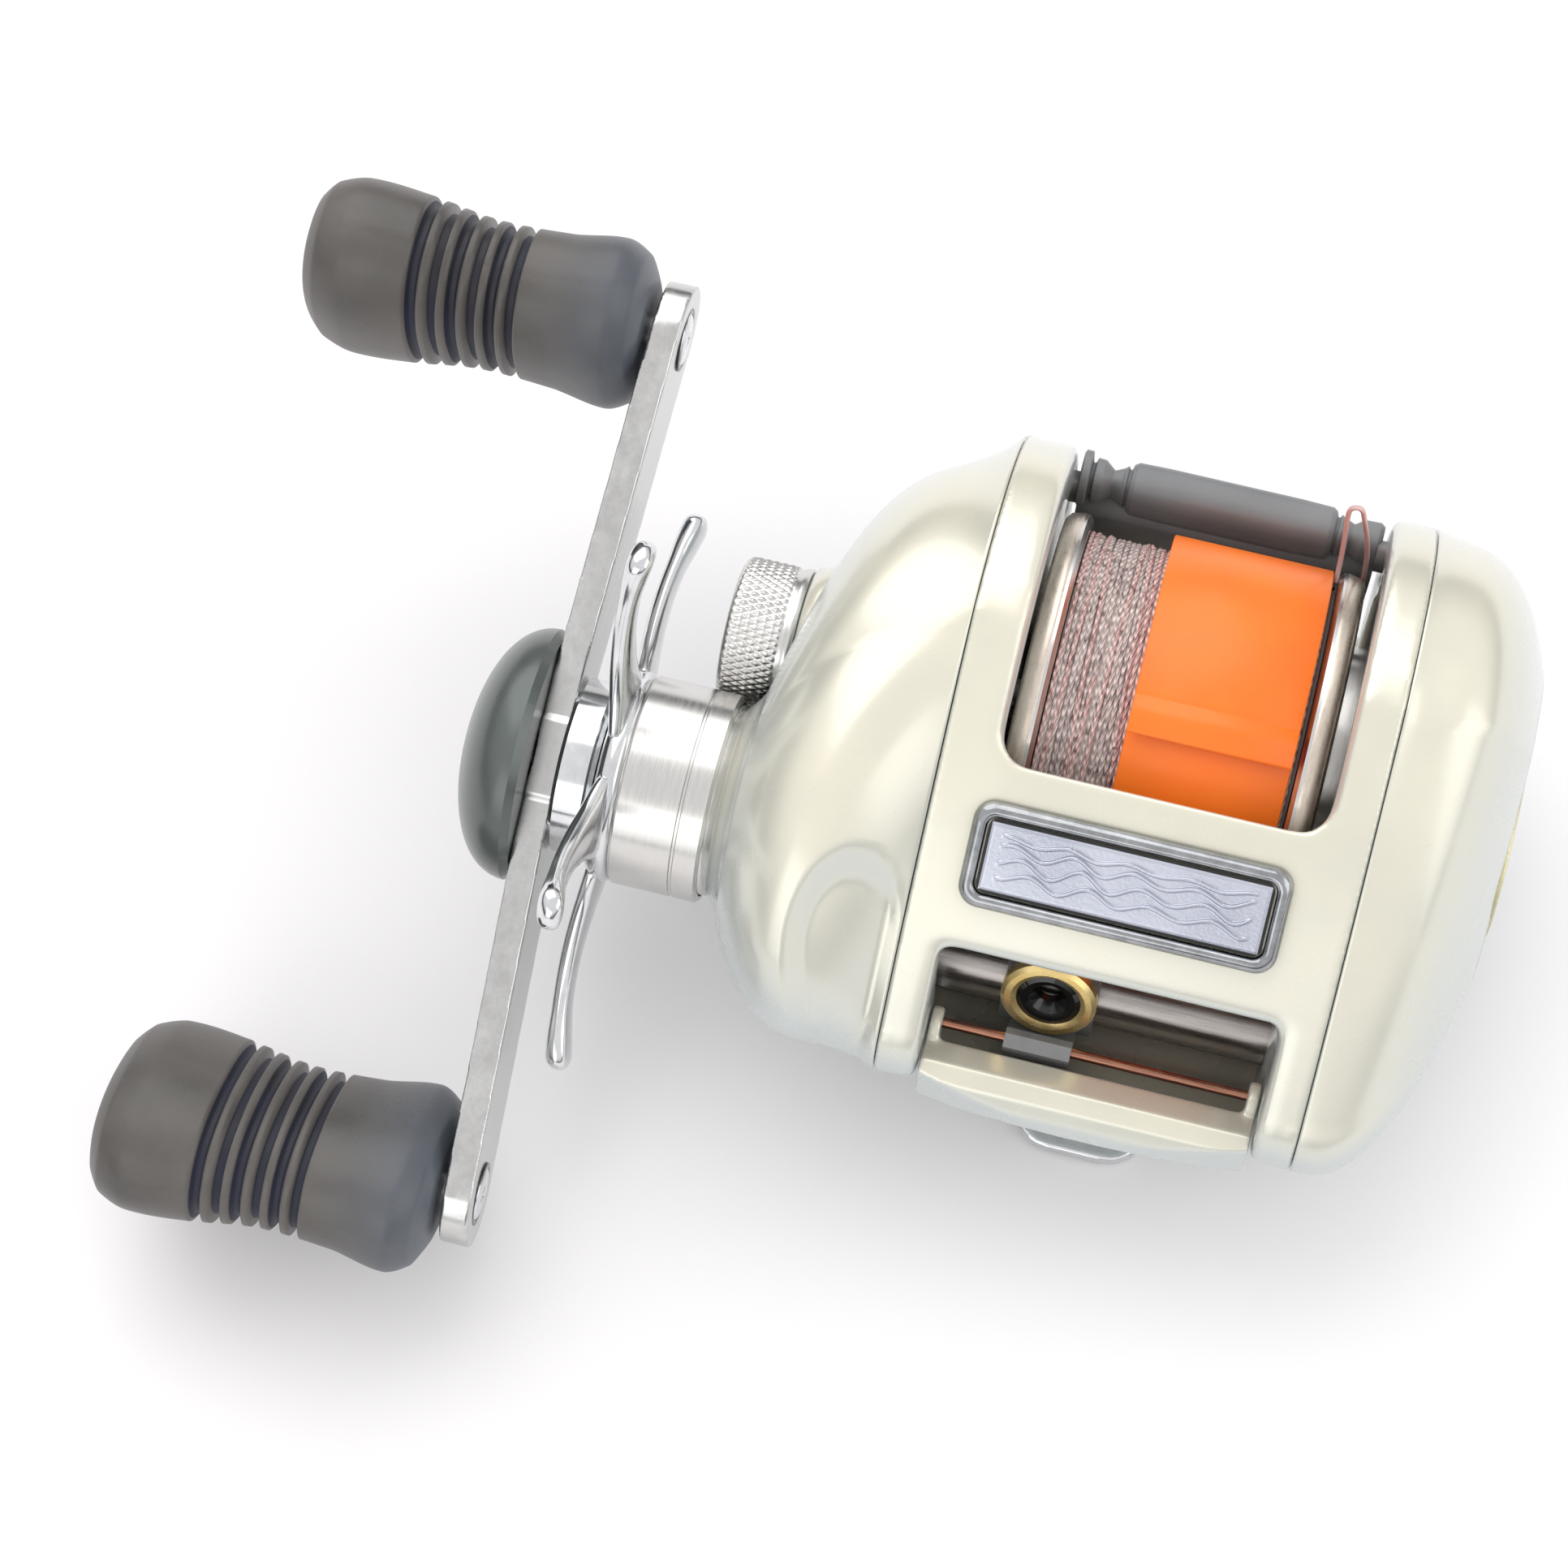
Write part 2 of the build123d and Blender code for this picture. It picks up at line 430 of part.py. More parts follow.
with BuildPart() as spool_shaft:
    bar(SPOOL, SHAFT_HANDLE_X, SHAFT_PALM_X, SHAFT_RADIUS)
    with BuildSketch(Plane.XY.offset(SPOOL_Z - 4)) as cross_hole:
        with Locations((PIN_X, SPOOL_Y)):
            Circle(PIN_RADIUS)
    extrude(cross_hole.sketch, amount=8, mode=Mode.SUBTRACT)
    chamfer(spool_shaft.edges().group_by(Axis.X)[0] + spool_shaft.edges().group_by(Axis.X)[-1], 0.3)
keep(spool_shaft.part, "spool_shaft")

with BuildPart() as spool_pin:
    with BuildSketch(Plane.XY.offset(SPOOL_Z - PIN_HALF)) as pin_end:
        with Locations((PIN_X, SPOOL_Y)):
            Circle(PIN_RADIUS)
    extrude(pin_end.sketch, amount=2 * PIN_HALF)
keep(spool_pin.part, "spool_pin")

with BuildPart() as wound_line:
    ring(SPOOL, -LINE_HALF, LINE_HALF, ARBOR_RADIUS, LINE_RADIUS)
    fillet(wound_line.edges().filter_by(GeomType.CIRCLE).group_by(SortBy.RADIUS)[-1], 0.4)
keep(wound_line.part, "wound_line")

CLIP_X0, CLIP_X1 = -4.1, 11.4
CLIP_IN, CLIP_THICKNESS, CLIP_GAP = LINE_RADIUS + 0.15, 0.6, 0.12
CLIP_LAP, CLIP_LIP, CLIP_END = 27.0, 113.0, 320.0
with BuildPart() as spool_clip:
    middle = CLIP_IN + CLIP_THICKNESS
    lap_in, lap_out = middle + CLIP_GAP, middle + CLIP_GAP + CLIP_THICKNESS
    sector(CLIP_X0, CLIP_X1, CLIP_IN, middle, CLIP_LAP, CLIP_END - CLIP_LAP)
    sector(CLIP_X0, CLIP_X1, lap_in, lap_out, CLIP_LAP, CLIP_LIP - CLIP_LAP)
    sector(CLIP_X0, CLIP_X1, CLIP_IN, lap_out, CLIP_LAP - 2, 2)
    # the free end curls out into a lip
    sector(CLIP_X0, CLIP_X1, lap_out - 0.3, lap_out + 0.4, CLIP_LIP - 0.2, 1.6)
    sector(CLIP_X0, CLIP_X1, lap_out - 0.1, lap_out + 0.2, CLIP_LIP - 1.6, 1.6)
keep(spool_clip.part, "spool_clip")

# ---------------------------------------------------------------- cast brake and bearings
with BuildPart() as brake_hub:
    spin(SPOOL, (HUB_X0, SHAFT_RADIUS), (HUB_X1, SHAFT_RADIUS), (HUB_X1, 4.0), (HUB_X1 - 0.4, 5.6),
         (HUB_X0 + 0.4, 5.6), (HUB_X0, 4.0))
    for turn in range(6):
        angle = radians(60 * turn + 30)
        peg_plane = Plane(((HUB_X0 + HUB_X1) / 2, SPOOL_Y + 5.0 * cos(angle), SPOOL_Z + 5.0 * sin(angle)),
                          x_dir=(1, 0, 0), z_dir=(0, cos(angle), sin(angle)))
        with BuildSketch(peg_plane) as peg:
            Circle(PEG_RADIUS)
        extrude(peg.sketch, amount=4.8)
keep(brake_hub.part, "brake_hub")

with BuildPart() as brake_blocks:
    for turn in range(6):
        angle = radians(60 * turn + 30)
        block_plane = Plane(((HUB_X0 + HUB_X1) / 2, SPOOL_Y + BLOCK_IN * cos(angle),
                             SPOOL_Z + BLOCK_IN * sin(angle)),
                            x_dir=(1, 0, 0), z_dir=(0, cos(angle), sin(angle)))
        with BuildSketch(block_plane) as block:
            Circle(BLOCK_RADIUS)
            Circle(PEG_RADIUS, mode=Mode.SUBTRACT)
        extrude(block.sketch, amount=BLOCK_OUT - BLOCK_IN)
keep(brake_blocks.part, "brake_blocks")

with BuildPart() as brake_drum:
    ring(SPOOL, HUB_X0 - 0.3, 18.0, DRUM_IN, DRUM_OUT)
keep(brake_drum.part, "brake_drum")

PLATE_X = 18.0
PALM_BEARING_X0, PALM_BEARING_X1 = 20.6, 23.2
with BuildPart() as brake_plate:
    spin(SPOOL, (PLATE_X, 0), (PLATE_X, PLATE_RADIUS), (FRAME_HALF, PLATE_RADIUS), (FRAME_HALF, 6.0),
         (25.6, 6.0), (25.6, 0))
    bar(SPOOL, PLATE_X, 20.6, 2.4, Mode.SUBTRACT)
    bar(SPOOL, 20.6, 25.0, END_BEARING_RADIUS, Mode.SUBTRACT)
    # screw heads pass behind the plate's edge
    for spot in SCREW_SPOTS:
        bar(near_spool(*spot), PLATE_X - 1, FRAME_HALF + 1, SCREW_RADIUS + 0.2, Mode.SUBTRACT)
keep(brake_plate.part, "brake_plate")


def bearing(label, centre, x0, x1, inner, outer):
    """A shielded ball bearing: two races, their shields and a ring of balls, one node."""
    groove = 0.35 * (x1 - x0)
    middle = (inner + outer) / 2
    with BuildPart() as body:
        ring(centre, x0, x1, inner, outer)
        for face, inward in ((x0, 1), (x1, -1)):
            spin(centre, (face, middle - groove), (face + 0.15 * inward, middle - groove),
                 (face + 0.15 * inward, middle + groove), (face, middle + groove), mode=Mode.SUBTRACT)
    keep(body.part, label)
    return body.part


bearing("spool_bearing_handle_side", SPOOL, -18.4, -15.6, SHAFT_RADIUS + RUNNING, SPOOL_BEARING_RADIUS)
bearing("spool_bearing_palm_side", SPOOL, PALM_BEARING_X0, PALM_BEARING_X1, SHAFT_RADIUS + RUNNING,
        END_BEARING_RADIUS)
bearing("spool_end_bearing", SPOOL, -40.9, -38.7, SHAFT_RADIUS + RUNNING, END_BEARING_RADIUS)
bearing("drive_shaft_bearing", DRIVE, -19.9, -17.9, 2.0 + RUNNING, SHAFT_BEARING_RADIUS)

# ---------------------------------------------------------------- pinion, clutch and thumb bar
PINION_GROOVE_X0, PINION_GROOVE_X1 = -25.5, -23.4
GROOVE_RADIUS = 2.4
PINION_STUB_RADIUS = 2.2
PINION_TEETH_X0, PINION_TEETH_X1 = -33.0, -26.4
GEAR_X0, GEAR_X1 = -31.4, -28.7

with BuildPart() as pinion_gear:
    gear(SPOOL, PINION_TEETH_X0, PINION_TEETH_X1, PINION_TEETH, MAIN_MODULE,
         TO_SPOOL + 180 + 180 / PINION_TEETH)
    bar(SPOOL, -36.0, PINION_TEETH_X0, PINION_STUB_RADIUS)
    bar(SPOOL, PINION_TEETH_X1, PINION_GROOVE_X0, 3.6)
    bar(SPOOL, PINION_GROOVE_X0, PINION_GROOVE_X1, GROOVE_RADIUS)
    bar(SPOOL, PINION_GROOVE_X1, -19.7, 3.5)
    bar(SPOOL, -37.0, -19.0, SHAFT_RADIUS + RUNNING, Mode.SUBTRACT)
    # slot that grips the spool shaft's cross pin
    with BuildSketch(Plane.YZ.offset(-22.0)) as pin_slot:
        with Locations(SPOOL):
            Rectangle(2 * PIN_RADIUS + 0.2, 8)
    extrude(pin_slot.sketch, amount=4, mode=Mode.SUBTRACT)
keep(pinion_gear.part, "pinion_gear")

bearing("pinion_bearing", SPOOL, -37.9, -35.5, PINION_STUB_RADIUS + RUNNING, END_BEARING_RADIUS)

YOKE_X0, YOKE_X1 = -25.2, -23.7
with BuildPart() as clutch_yoke:
    slab(YOKE_X0, YOKE_X1, (-2.4, 11.4), (3.4, 11.4), (5.2, 5.0), (5.2, -5.0), (3.4, -11.4), (-2.4, -11.4),
         (-3.6, -4.0), (-3.6, 4.0))
    bar(SPOOL, YOKE_X0, YOKE_X1, GROOVE_RADIUS + 0.1, Mode.SUBTRACT)
    # the fork is open towards the front
    slab(YOKE_X0 - 1, YOKE_X1 + 1, (-8, GROOVE_RADIUS + 0.1), (0, GROOVE_RADIUS + 0.1),
         (0, -GROOVE_RADIUS - 0.1), (-8, -GROOVE_RADIUS - 0.1), mode=Mode.SUBTRACT)
    for spot in POST_SPOTS:
        bar(near_spool(*spot), YOKE_X0, YOKE_X1, POST_RADIUS + RUNNING, Mode.SUBTRACT)
keep(clutch_yoke.part, "clutch_yoke")

with BuildPart() as yoke_posts:
    for spot in POST_SPOTS:
        bar(near_spool(*spot), -32.4, -17.5, POST_RADIUS)
keep(yoke_posts.part, "yoke_posts")

SPRING_RADIUS, SPRING_WIRE = 1.75, 0.22
with BuildPart() as yoke_springs:
    for spot in POST_SPOTS:
        for coil in range(9):
            x = -31.9 + coil * (YOKE_X0 + 31.9 - 2 * SPRING_WIRE) / 8
            spin(near_spool(*spot), (x, SPRING_RADIUS - SPRING_WIRE), (x + 2 * SPRING_WIRE, SPRING_RADIUS - SPRING_WIRE),
                 (x + 2 * SPRING_WIRE, SPRING_RADIUS + SPRING_WIRE), (x, SPRING_RADIUS + SPRING_WIRE))
keep(yoke_springs.part, "yoke_springs")

BAR_X0, BAR_X1 = OPENING_HANDLE_X + 0.4, OPENING_PALM_X - 0.4
BAR_IN, BAR_OUT, BAR_LOW, BAR_HIGH = 19.95, 23.6, 2.4, 8.0
PAD_X0, PAD_X1 = -9.5, 10.6
with BuildPart() as thumb_bar:
    slab(BAR_X0, BAR_X1, (BAR_IN, BAR_LOW), (BAR_OUT - 0.6, BAR_LOW), (BAR_OUT, BAR_LOW + 1.0),
         (BAR_OUT - 0.2, BAR_HIGH - 1.2), (BAR_OUT - 1.2, BAR_HIGH), (BAR_IN + 0.7, BAR_HIGH),
         (BAR_IN, BAR_HIGH - 0.8))
    # shallow saddles either side of the pad
    for x0, x1 in ((PAD_X0 - 3.4, PAD_X0), (PAD_X1, PAD_X1 + 2.2)):
        slab(x0, x1, (BAR_OUT - 1.4, BAR_HIGH + 1), (BAR_OUT + 1, BAR_HIGH + 1), (BAR_OUT + 1, BAR_HIGH - 3.4),
             (BAR_OUT - 1.0, BAR_HIGH - 1.6), mode=Mode.SUBTRACT)
    # tabs that slide in the side walls
    slab(-21.2, BAR_X0, (BAR_TAB_IN, BAR_TAB_LOW), (BAR_TAB_OUT, BAR_TAB_LOW), (BAR_TAB_OUT, BAR_TAB_HIGH),
         (BAR_TAB_IN, BAR_TAB_HIGH))
    slab(BAR_X1, OPENING_PALM_X + 1.4, (BAR_TAB_IN + 0.4, BAR_TAB_LOW), (BAR_TAB_OUT, BAR_TAB_LOW),
         (BAR_TAB_OUT, BAR_TAB_HIGH), (BAR_TAB_IN + 0.4, BAR_TAB_HIGH))
    # raised pad for the thumb
    slab(PAD_X0, PAD_X1, (BAR_IN + 1.4, BAR_HIGH - 0.5), (BAR_OUT - 1.4, BAR_HIGH - 1.5),
         (BAR_OUT - 0.5, BAR_LOW + 1.4), (BAR_OUT + 0.7, BAR_LOW + 1.4),
         (BAR_OUT + 0.6, BAR_HIGH - 0.9), (BAR_OUT - 0.9, BAR_HIGH + 0.8), (BAR_IN + 1.4, BAR_HIGH + 0.8))
keep(thumb_bar.part, "thumb_bar")

CAM_X0, CAM_X1 = -21.8, -20.3
with BuildPart() as clutch_cam:
    slab(CAM_X0, CAM_X1, (BAR_TAB_IN - 0.1, 2.2), (BAR_TAB_IN - 0.1, 7.4), (9.0, 7.4), (9.0, 4.6), (6.6, 4.6),
         (6.6, 2.2))
    # ramp that lifts the yoke
    slab(-22.6, CAM_X0, (7.0, 2.6), (9.4, 2.6), (9.4, 4.2), (7.0, 4.2))
keep(clutch_cam.part, "clutch_cam")

# ---------------------------------------------------------------- drive shaft train
with BuildPart() as drive_shaft:
    spin(DRIVE, (-17.95, 0), (-17.95, 1.7), (-18.2, 2.0), (-20.2, 2.0), (-20.2, DRIVE_SHAFT_RADIUS),
         (-51.6, DRIVE_SHAFT_RADIUS), (-51.6, ARM_SHAFT_RADIUS), (-61.0, ARM_SHAFT_RADIUS), (-61.3, 2.3),
         (-61.3, 0))
keep(drive_shaft.part, "drive_shaft")

with BuildPart() as worm_drive_gear:
    gear(DRIVE, -24.0, -22.2, WIND_DRIVE_TEETH, WIND_MODULE, TO_WORM)
    bar(DRIVE, -25, -21, DRIVE_SHAFT_RADIUS, Mode.SUBTRACT)
keep(worm_drive_gear.part, "worm_drive_gear")

RATCHET_RADIUS, RATCHET_TEETH = 8.2, 12
with BuildPart() as ratchet_wheel:
    ratchet = []
    for tooth in range(RATCHET_TEETH):
        angle = 2 * pi * tooth / RATCHET_TEETH
        ratchet += [(DRIVE[0] + RATCHET_RADIUS * cos(angle), DRIVE[1] + RATCHET_RADIUS * sin(angle)),
                    (DRIVE[0] + 6.6 * cos(angle + 0.08), DRIVE[1] + 6.6 * sin(angle + 0.08))]
    with BuildSketch(Plane.YZ.offset(-27.6)) as ratchet_face:
        with BuildLine():
            Polyline(*ratchet, close=True)
        make_face()
        with Locations(DRIVE):
            Circle(DRIVE_SHAFT_RADIUS, mode=Mode.SUBTRACT)
    extrude(ratchet_face.sketch, amount=1.2)
keep(ratchet_wheel.part, "ratchet_wheel")

with BuildPart() as drive_gear:
    gear(DRIVE, GEAR_X0, GEAR_X1, MAIN_TEETH, MAIN_MODULE, TO_SPOOL)
    bar(DRIVE, GEAR_X0 - 1, GEAR_X1 + 1, DRIVE_SHAFT_RADIUS, Mode.SUBTRACT)
    # recess for the drag stack on the outer face
    spin(DRIVE, (GEAR_X0 - 1, DRIVE_SHAFT_RADIUS), (GEAR_X0 + 1.5, DRIVE_SHAFT_RADIUS), (GEAR_X0 + 1.5, 11.8),
         (GEAR_X0 - 1, 11.8), mode=Mode.SUBTRACT)
keep(drive_gear.part, "drive_gear")

with BuildPart() as drag_washers:
    for layer in range(4):
        x = GEAR_X0 + 1.1 - 0.43 * layer
        ring(DRIVE, x, x + 0.4, DRIVE_SHAFT_RADIUS, 11.5)
keep(drag_washers.part, "drag_washers")

SLEEVE_RADIUS = 4.3
with BuildPart() as clutch_sleeve:
    ring(DRIVE, -42.4, -31.6, DRIVE_SHAFT_RADIUS, SLEEVE_RADIUS)
keep(clutch_sleeve.part, "clutch_sleeve")

bearing("one_way_clutch_bearing", DRIVE, -37.5, -33.0, SLEEVE_RADIUS + RUNNING, CLUTCH_BEARING_RADIUS)

# ---------------------------------------------------------------- star drag
STAR_BORE = DRIVE_SHAFT_RADIUS + RUNNING
BARREL_RADIUS, BARREL_X0, BARREL_X1 = 10.15, -48.84, -40.1
with BuildPart() as drag_barrel:
    spin(DRIVE, (BARREL_X0, STAR_BORE), (-46.4, STAR_BORE), (-46.4, 8.0), (-45.6, 9.5), (BARREL_X1, 9.5),
         (BARREL_X1, BARREL_RADIUS - 0.3), (BARREL_X1 - 0.3, BARREL_RADIUS), (-42.5, BARREL_RADIUS),
         (-42.6, BARREL_RADIUS - 0.15), (-42.8, BARREL_RADIUS - 0.15), (-42.9, BARREL_RADIUS),
         (BARREL_X0 + 0.3, BARREL_RADIUS), (BARREL_X0, BARREL_RADIUS - 0.3))
keep(drag_barrel.part, "drag_barrel")

STAR_X0, STAR_X1, STAR_ARM_WIDTH = -51.3, BARREL_X0 - 0.02, 3.8
with BuildPart() as star_drag:
    with BuildSketch(Plane.YZ.offset(STAR_X0)) as star_face:
        with Locations(DRIVE):
            Circle(10.0)
        for arm in range(5):
            angle = STAR_TURN + 72 * arm
            middle = (9.0 + STAR_REACH - STAR_ARM_WIDTH / 2) / 2
            with Locations((DRIVE[0] + middle * cos(radians(angle)), DRIVE[1] + middle * sin(radians(angle)))):
                SlotCenterToCenter(STAR_REACH - STAR_ARM_WIDTH / 2 - 9.0, STAR_ARM_WIDTH, rotation=angle)
        fillet(star_face.vertices().filter_by(lambda v: 9.5 < hypot(v.Y - DRIVE[0], v.Z - DRIVE[1]) < 11.5), 2.0)
        with Locations(DRIVE):
            Circle(STAR_BORE, mode=Mode.SUBTRACT)
    extrude(star_face.sketch, amount=STAR_X1 - STAR_X0)
keep(star_drag.part, "star_drag")

with BuildPart() as star_nut:
    with BuildSketch(Plane.YZ.offset(-46.3)) as nut_face:
        with Locations(DRIVE):
            RegularPolygon(6.0, 6)
            Circle(STAR_BORE, mode=Mode.SUBTRACT)
    extrude(nut_face.sketch, amount=3.2)
keep(star_nut.part, "star_nut")

# ---------------------------------------------------------------- handle
ALONG = (0, cos(radians(HANDLE_ANGLE)), sin(radians(HANDLE_ANGLE)))
ACROSS = (0, sin(radians(HANDLE_ANGLE)), -cos(radians(HANDLE_ANGLE)))
PIN_INNER_X = ARM_INNER_X + ARM_SWEEP
SWEEP_SLOPE = ARM_SWEEP / (HANDLE_REACH - ARM_FLAT)
ARM_END = HANDLE_REACH + 5.2
PIN_SPOTS = {"rear": (DRIVE[0] + HANDLE_REACH * ALONG[1], DRIVE[1] + HANDLE_REACH * ALONG[2]),
             "front": (DRIVE[0] - HANDLE_REACH * ALONG[1], DRIVE[1] - HANDLE_REACH * ALONG[2])}
KNOB_PIN_RADIUS, PIN_HEAD_RADIUS = 1.9, 2.95

with BuildPart() as handle_arm:
    with BuildSketch(Plane((0, DRIVE[0], DRIVE[1]), x_dir=ALONG, z_dir=ACROSS)) as arm_side:
        end_x = ARM_INNER_X + SWEEP_SLOPE * (ARM_END - ARM_FLAT)
        with BuildLine():
            Polyline((-ARM_END, end_x), (-ARM_FLAT, ARM_INNER_X), (ARM_FLAT, ARM_INNER_X), (ARM_END, end_x),
                     (ARM_END, end_x - ARM_THICKNESS), (ARM_FLAT, ARM_INNER_X - ARM_THICKNESS),
                     (-ARM_FLAT, ARM_INNER_X - ARM_THICKNESS), (-ARM_END, end_x - ARM_THICKNESS), close=True)
        make_face()
    extrude(arm_side.sketch, amount=ARM_WIDTH / 2, both=True)
    with BuildSketch(Plane((-70, DRIVE[0], DRIVE[1]), x_dir=ALONG, z_dir=(1, 0, 0))) as arm_plan:
        SlotCenterToCenter(2 * (ARM_END - ARM_WIDTH / 2 + 0.4), ARM_WIDTH - 0.8)
        Circle(ARM_WIDTH / 2 + 1.0)
    extrude(arm_plan.sketch, amount=40, mode=Mode.INTERSECT)
    bar(DRIVE, -70, -50, ARM_SHAFT_RADIUS, Mode.SUBTRACT)
    for spot in PIN_SPOTS.values():
        bar(spot, -70, -50, KNOB_PIN_RADIUS, Mode.SUBTRACT)
        bar(spot, PIN_INNER_X - 0.9, -50, PIN_HEAD_RADIUS, Mode.SUBTRACT)
keep(handle_arm.part, "handle_arm")

with BuildPart() as shaft_collar:
    spin(DRIVE, (ARM_INNER_X, ARM_SHAFT_RADIUS), (-51.6, ARM_SHAFT_RADIUS), (-51.6, 7.8), (-52.2, 8.5),
         (ARM_INNER_X + 0.4, 8.5), (ARM_INNER_X, 8.1))
keep(shaft_collar.part, "shaft_collar")

ARM_OUTER_X = ARM_INNER_X - ARM_THICKNESS
with BuildPart() as handle_nut:
    with BuildSketch(Plane.YZ.offset(ARM_OUTER_X - 2.6)) as handle_nut_face:
        with Locations(DRIVE):
            RegularPolygon(5.0, 6)
            Circle(ARM_SHAFT_RADIUS, mode=Mode.SUBTRACT)
    extrude(handle_nut_face.sketch, amount=2.6)
keep(handle_nut.part, "handle_nut")

CAP_RADIUS, CAP_END_X = 12.3, -65.2
with BuildPart() as nut_cap:
    with BuildSketch(Plane((0, DRIVE[0], DRIVE[1]), x_dir=(1, 0, 0), z_dir=(0, -1, 0))) as cap_half:
        with BuildLine():
            Polyline((CAP_END_X, 0), (-62.6, 0), (-62.6, 6.2), (ARM_OUTER_X, 6.2), (ARM_OUTER_X, CAP_RADIUS - 0.6),
                     (ARM_OUTER_X - 0.8, CAP_RADIUS))
            Bezier((ARM_OUTER_X - 0.8, CAP_RADIUS), (ARM_OUTER_X - 4.6, CAP_RADIUS), (CAP_END_X, 7.4), (CAP_END_X, 0))
        make_face()
    revolve(cap_half.sketch, axis=Axis((0, DRIVE[0], DRIVE[1]), (1, 0, 0)))
keep(nut_cap.part, "nut_cap")

# ---------------------------------------------------------------- knobs
KNOB_X1 = ARM_INNER_X + ARM_SWEEP - ARM_THICKNESS - 0.55
KNOB_X0 = KNOB_X1 - KNOB_LENGTH
KNOB_CORNER = 2.3                       # superellipse exponent of a knob's section
# share of the length from the outer end, share of the largest half size
KNOB_SHAPE = [(0.0, 0.62), (0.05, 0.88), (0.14, 1.0), (0.30, 0.97), (0.52, 0.86), (0.74, 0.89), (0.90, 0.98),
              (0.965, 0.86), (1.0, 0.60)]


def knob_section(x, share, spot, turn):
    """One closed section of a knob, a rounded oval turned about its pin."""
    points = []
    for step in range(16):
        angle = 2 * pi * step / 16
        along = copysign_power(cos(angle)) * KNOB_HALF_LONG * share
        across = copysign_power(sin(angle)) * KNOB_HALF_SHORT * share
        points.append((spot[0] + along * cos(radians(turn)) - across * sin(radians(turn)),
                       spot[1] + along * sin(radians(turn)) + across * cos(radians(turn))))
    with BuildSketch(Plane.YZ.offset(x)) as section:
        with BuildLine():
            Spline(*points, periodic=True)
        make_face()
    return section.sketch


def copysign_power(value):
    """Superellipse coordinate of a cosine or sine."""
    size = abs(value) ** (2 / KNOB_CORNER)
    return size if value >= 0 else -size


def knob(label, spot, turn):
    """A paddle knob bored for its pin."""
    with BuildPart() as body:
        loft([knob_section(KNOB_X0 + KNOB_LENGTH * far, share, spot, turn) for far, share in KNOB_SHAPE])
        bar(spot, KNOB_X0 + 4.0, KNOB_X1 + 1, KNOB_PIN_RADIUS + RUNNING, Mode.SUBTRACT)
        bar(spot, KNOB_X0 + 4.0, KNOB_X0 + 7.6, 3.2, Mode.SUBTRACT)
    keep(body.part, label)


knob("front_knob", PIN_SPOTS["front"], FRONT_KNOB_TURN)
knob("rear_knob", PIN_SPOTS["rear"], REAR_KNOB_TURN)

with BuildPart() as knob_pins:
    for spot in PIN_SPOTS.values():
        spin(spot, (PIN_INNER_X - 0.05, 0), (PIN_INNER_X - 0.05, PIN_HEAD_RADIUS),
             (PIN_INNER_X - 0.9, PIN_HEAD_RADIUS), (PIN_INNER_X - 0.9, KNOB_PIN_RADIUS),
             (KNOB_X0 + 5.4, KNOB_PIN_RADIUS), (KNOB_X0 + 5.4, 2.9), (KNOB_X0 + 4.6, 2.9), (KNOB_X0 + 4.6, 0))
keep(knob_pins.part, "knob_pins")

# ---------------------------------------------------------------- cast control knob
CAST_KNOB_X0, CAST_KNOB_X1 = -43.65, -36.5
CAST_BORE = CAST_SPIGOT_RADIUS + 0.08
with BuildPart() as cast_control_knob:
    spin(SPOOL, (CAST_KNOB_X0, 0), (CAST_KNOB_X0, 6.7), (CAST_KNOB_X0 + 0.4, 7.1), (-40.0, 7.15),
         (CAST_KNOB_X1 - 0.6, 7.9), (CAST_KNOB_X1, 7.5), (CAST_KNOB_X1, CAST_BORE), (-41.75, CAST_BORE), (-41.75, 0))
keep(cast_control_knob.part, "cast_control_knob")

with BuildPart() as cast_shim:
    bar(SPOOL, -41.75, -41.3, 3.6)
keep(cast_shim.part, "cast_shim")

# ---------------------------------------------------------------- level wind
TUBE_X0, TUBE_X1 = -19.9, 18.3
with BuildPart() as worm_tube:
    ring(WORM, TUBE_X0, TUBE_X1, TUBE_RADIUS - 0.55, TUBE_RADIUS)
    # slot along the underside for the pawl
    slab(-15.5, 14.8, (WORM_DY - 0.9, WORM_DZ - 1.0), (WORM_DY + 0.9, WORM_DZ - 1.0), (WORM_DY + 0.9, WORM_DZ - 5),
         (WORM_DY - 0.9, WORM_DZ - 5), mode=Mode.SUBTRACT)
keep(worm_tube.part, "worm_tube")

WORM_GROOVE_DEPTH, WORM_TURNS = 0.45, 9
with BuildPart() as worm_shaft:
    spin(WORM, (-24.1, 0), (-24.1, 1.5), (-19.2, 1.5), (-18.2, 1.5), (-18.2, WORM_RADIUS), (16.0, WORM_RADIUS),
         (16.0, 1.5), (17.8, 1.5), (17.8, 0))
    # tilted ring grooves that cross each other, left and right handed
    for turn in range(WORM_TURNS):
        for lean in (-1, 1):
            x = -13.2 + 26.4 * turn / (WORM_TURNS - 1)
            tilt = radians(28 * lean)
            groove_axis = (cos(tilt), sin(tilt), 0)
            y, z = WORM
            with BuildSketch(Plane((x, y, z), x_dir=groove_axis, z_dir=(-sin(tilt), cos(tilt), 0))) as groove:
                with Locations((0, WORM_RADIUS + 0.25)):
                    Rectangle(0.8, 2 * WORM_GROOVE_DEPTH + 0.5)
            revolve(groove.sketch, axis=Axis((x, y, z), groove_axis), mode=Mode.SUBTRACT)
keep(worm_shaft.part, "worm_shaft")

with BuildPart() as worm_gear:
    gear(WORM, -24.0, -22.2, WIND_TEETH, WIND_MODULE, TO_WORM + 180 + 180 / WIND_TEETH)
    bar(WORM, -25, -21, 1.5, Mode.SUBTRACT)
keep(worm_gear.part, "worm_gear")

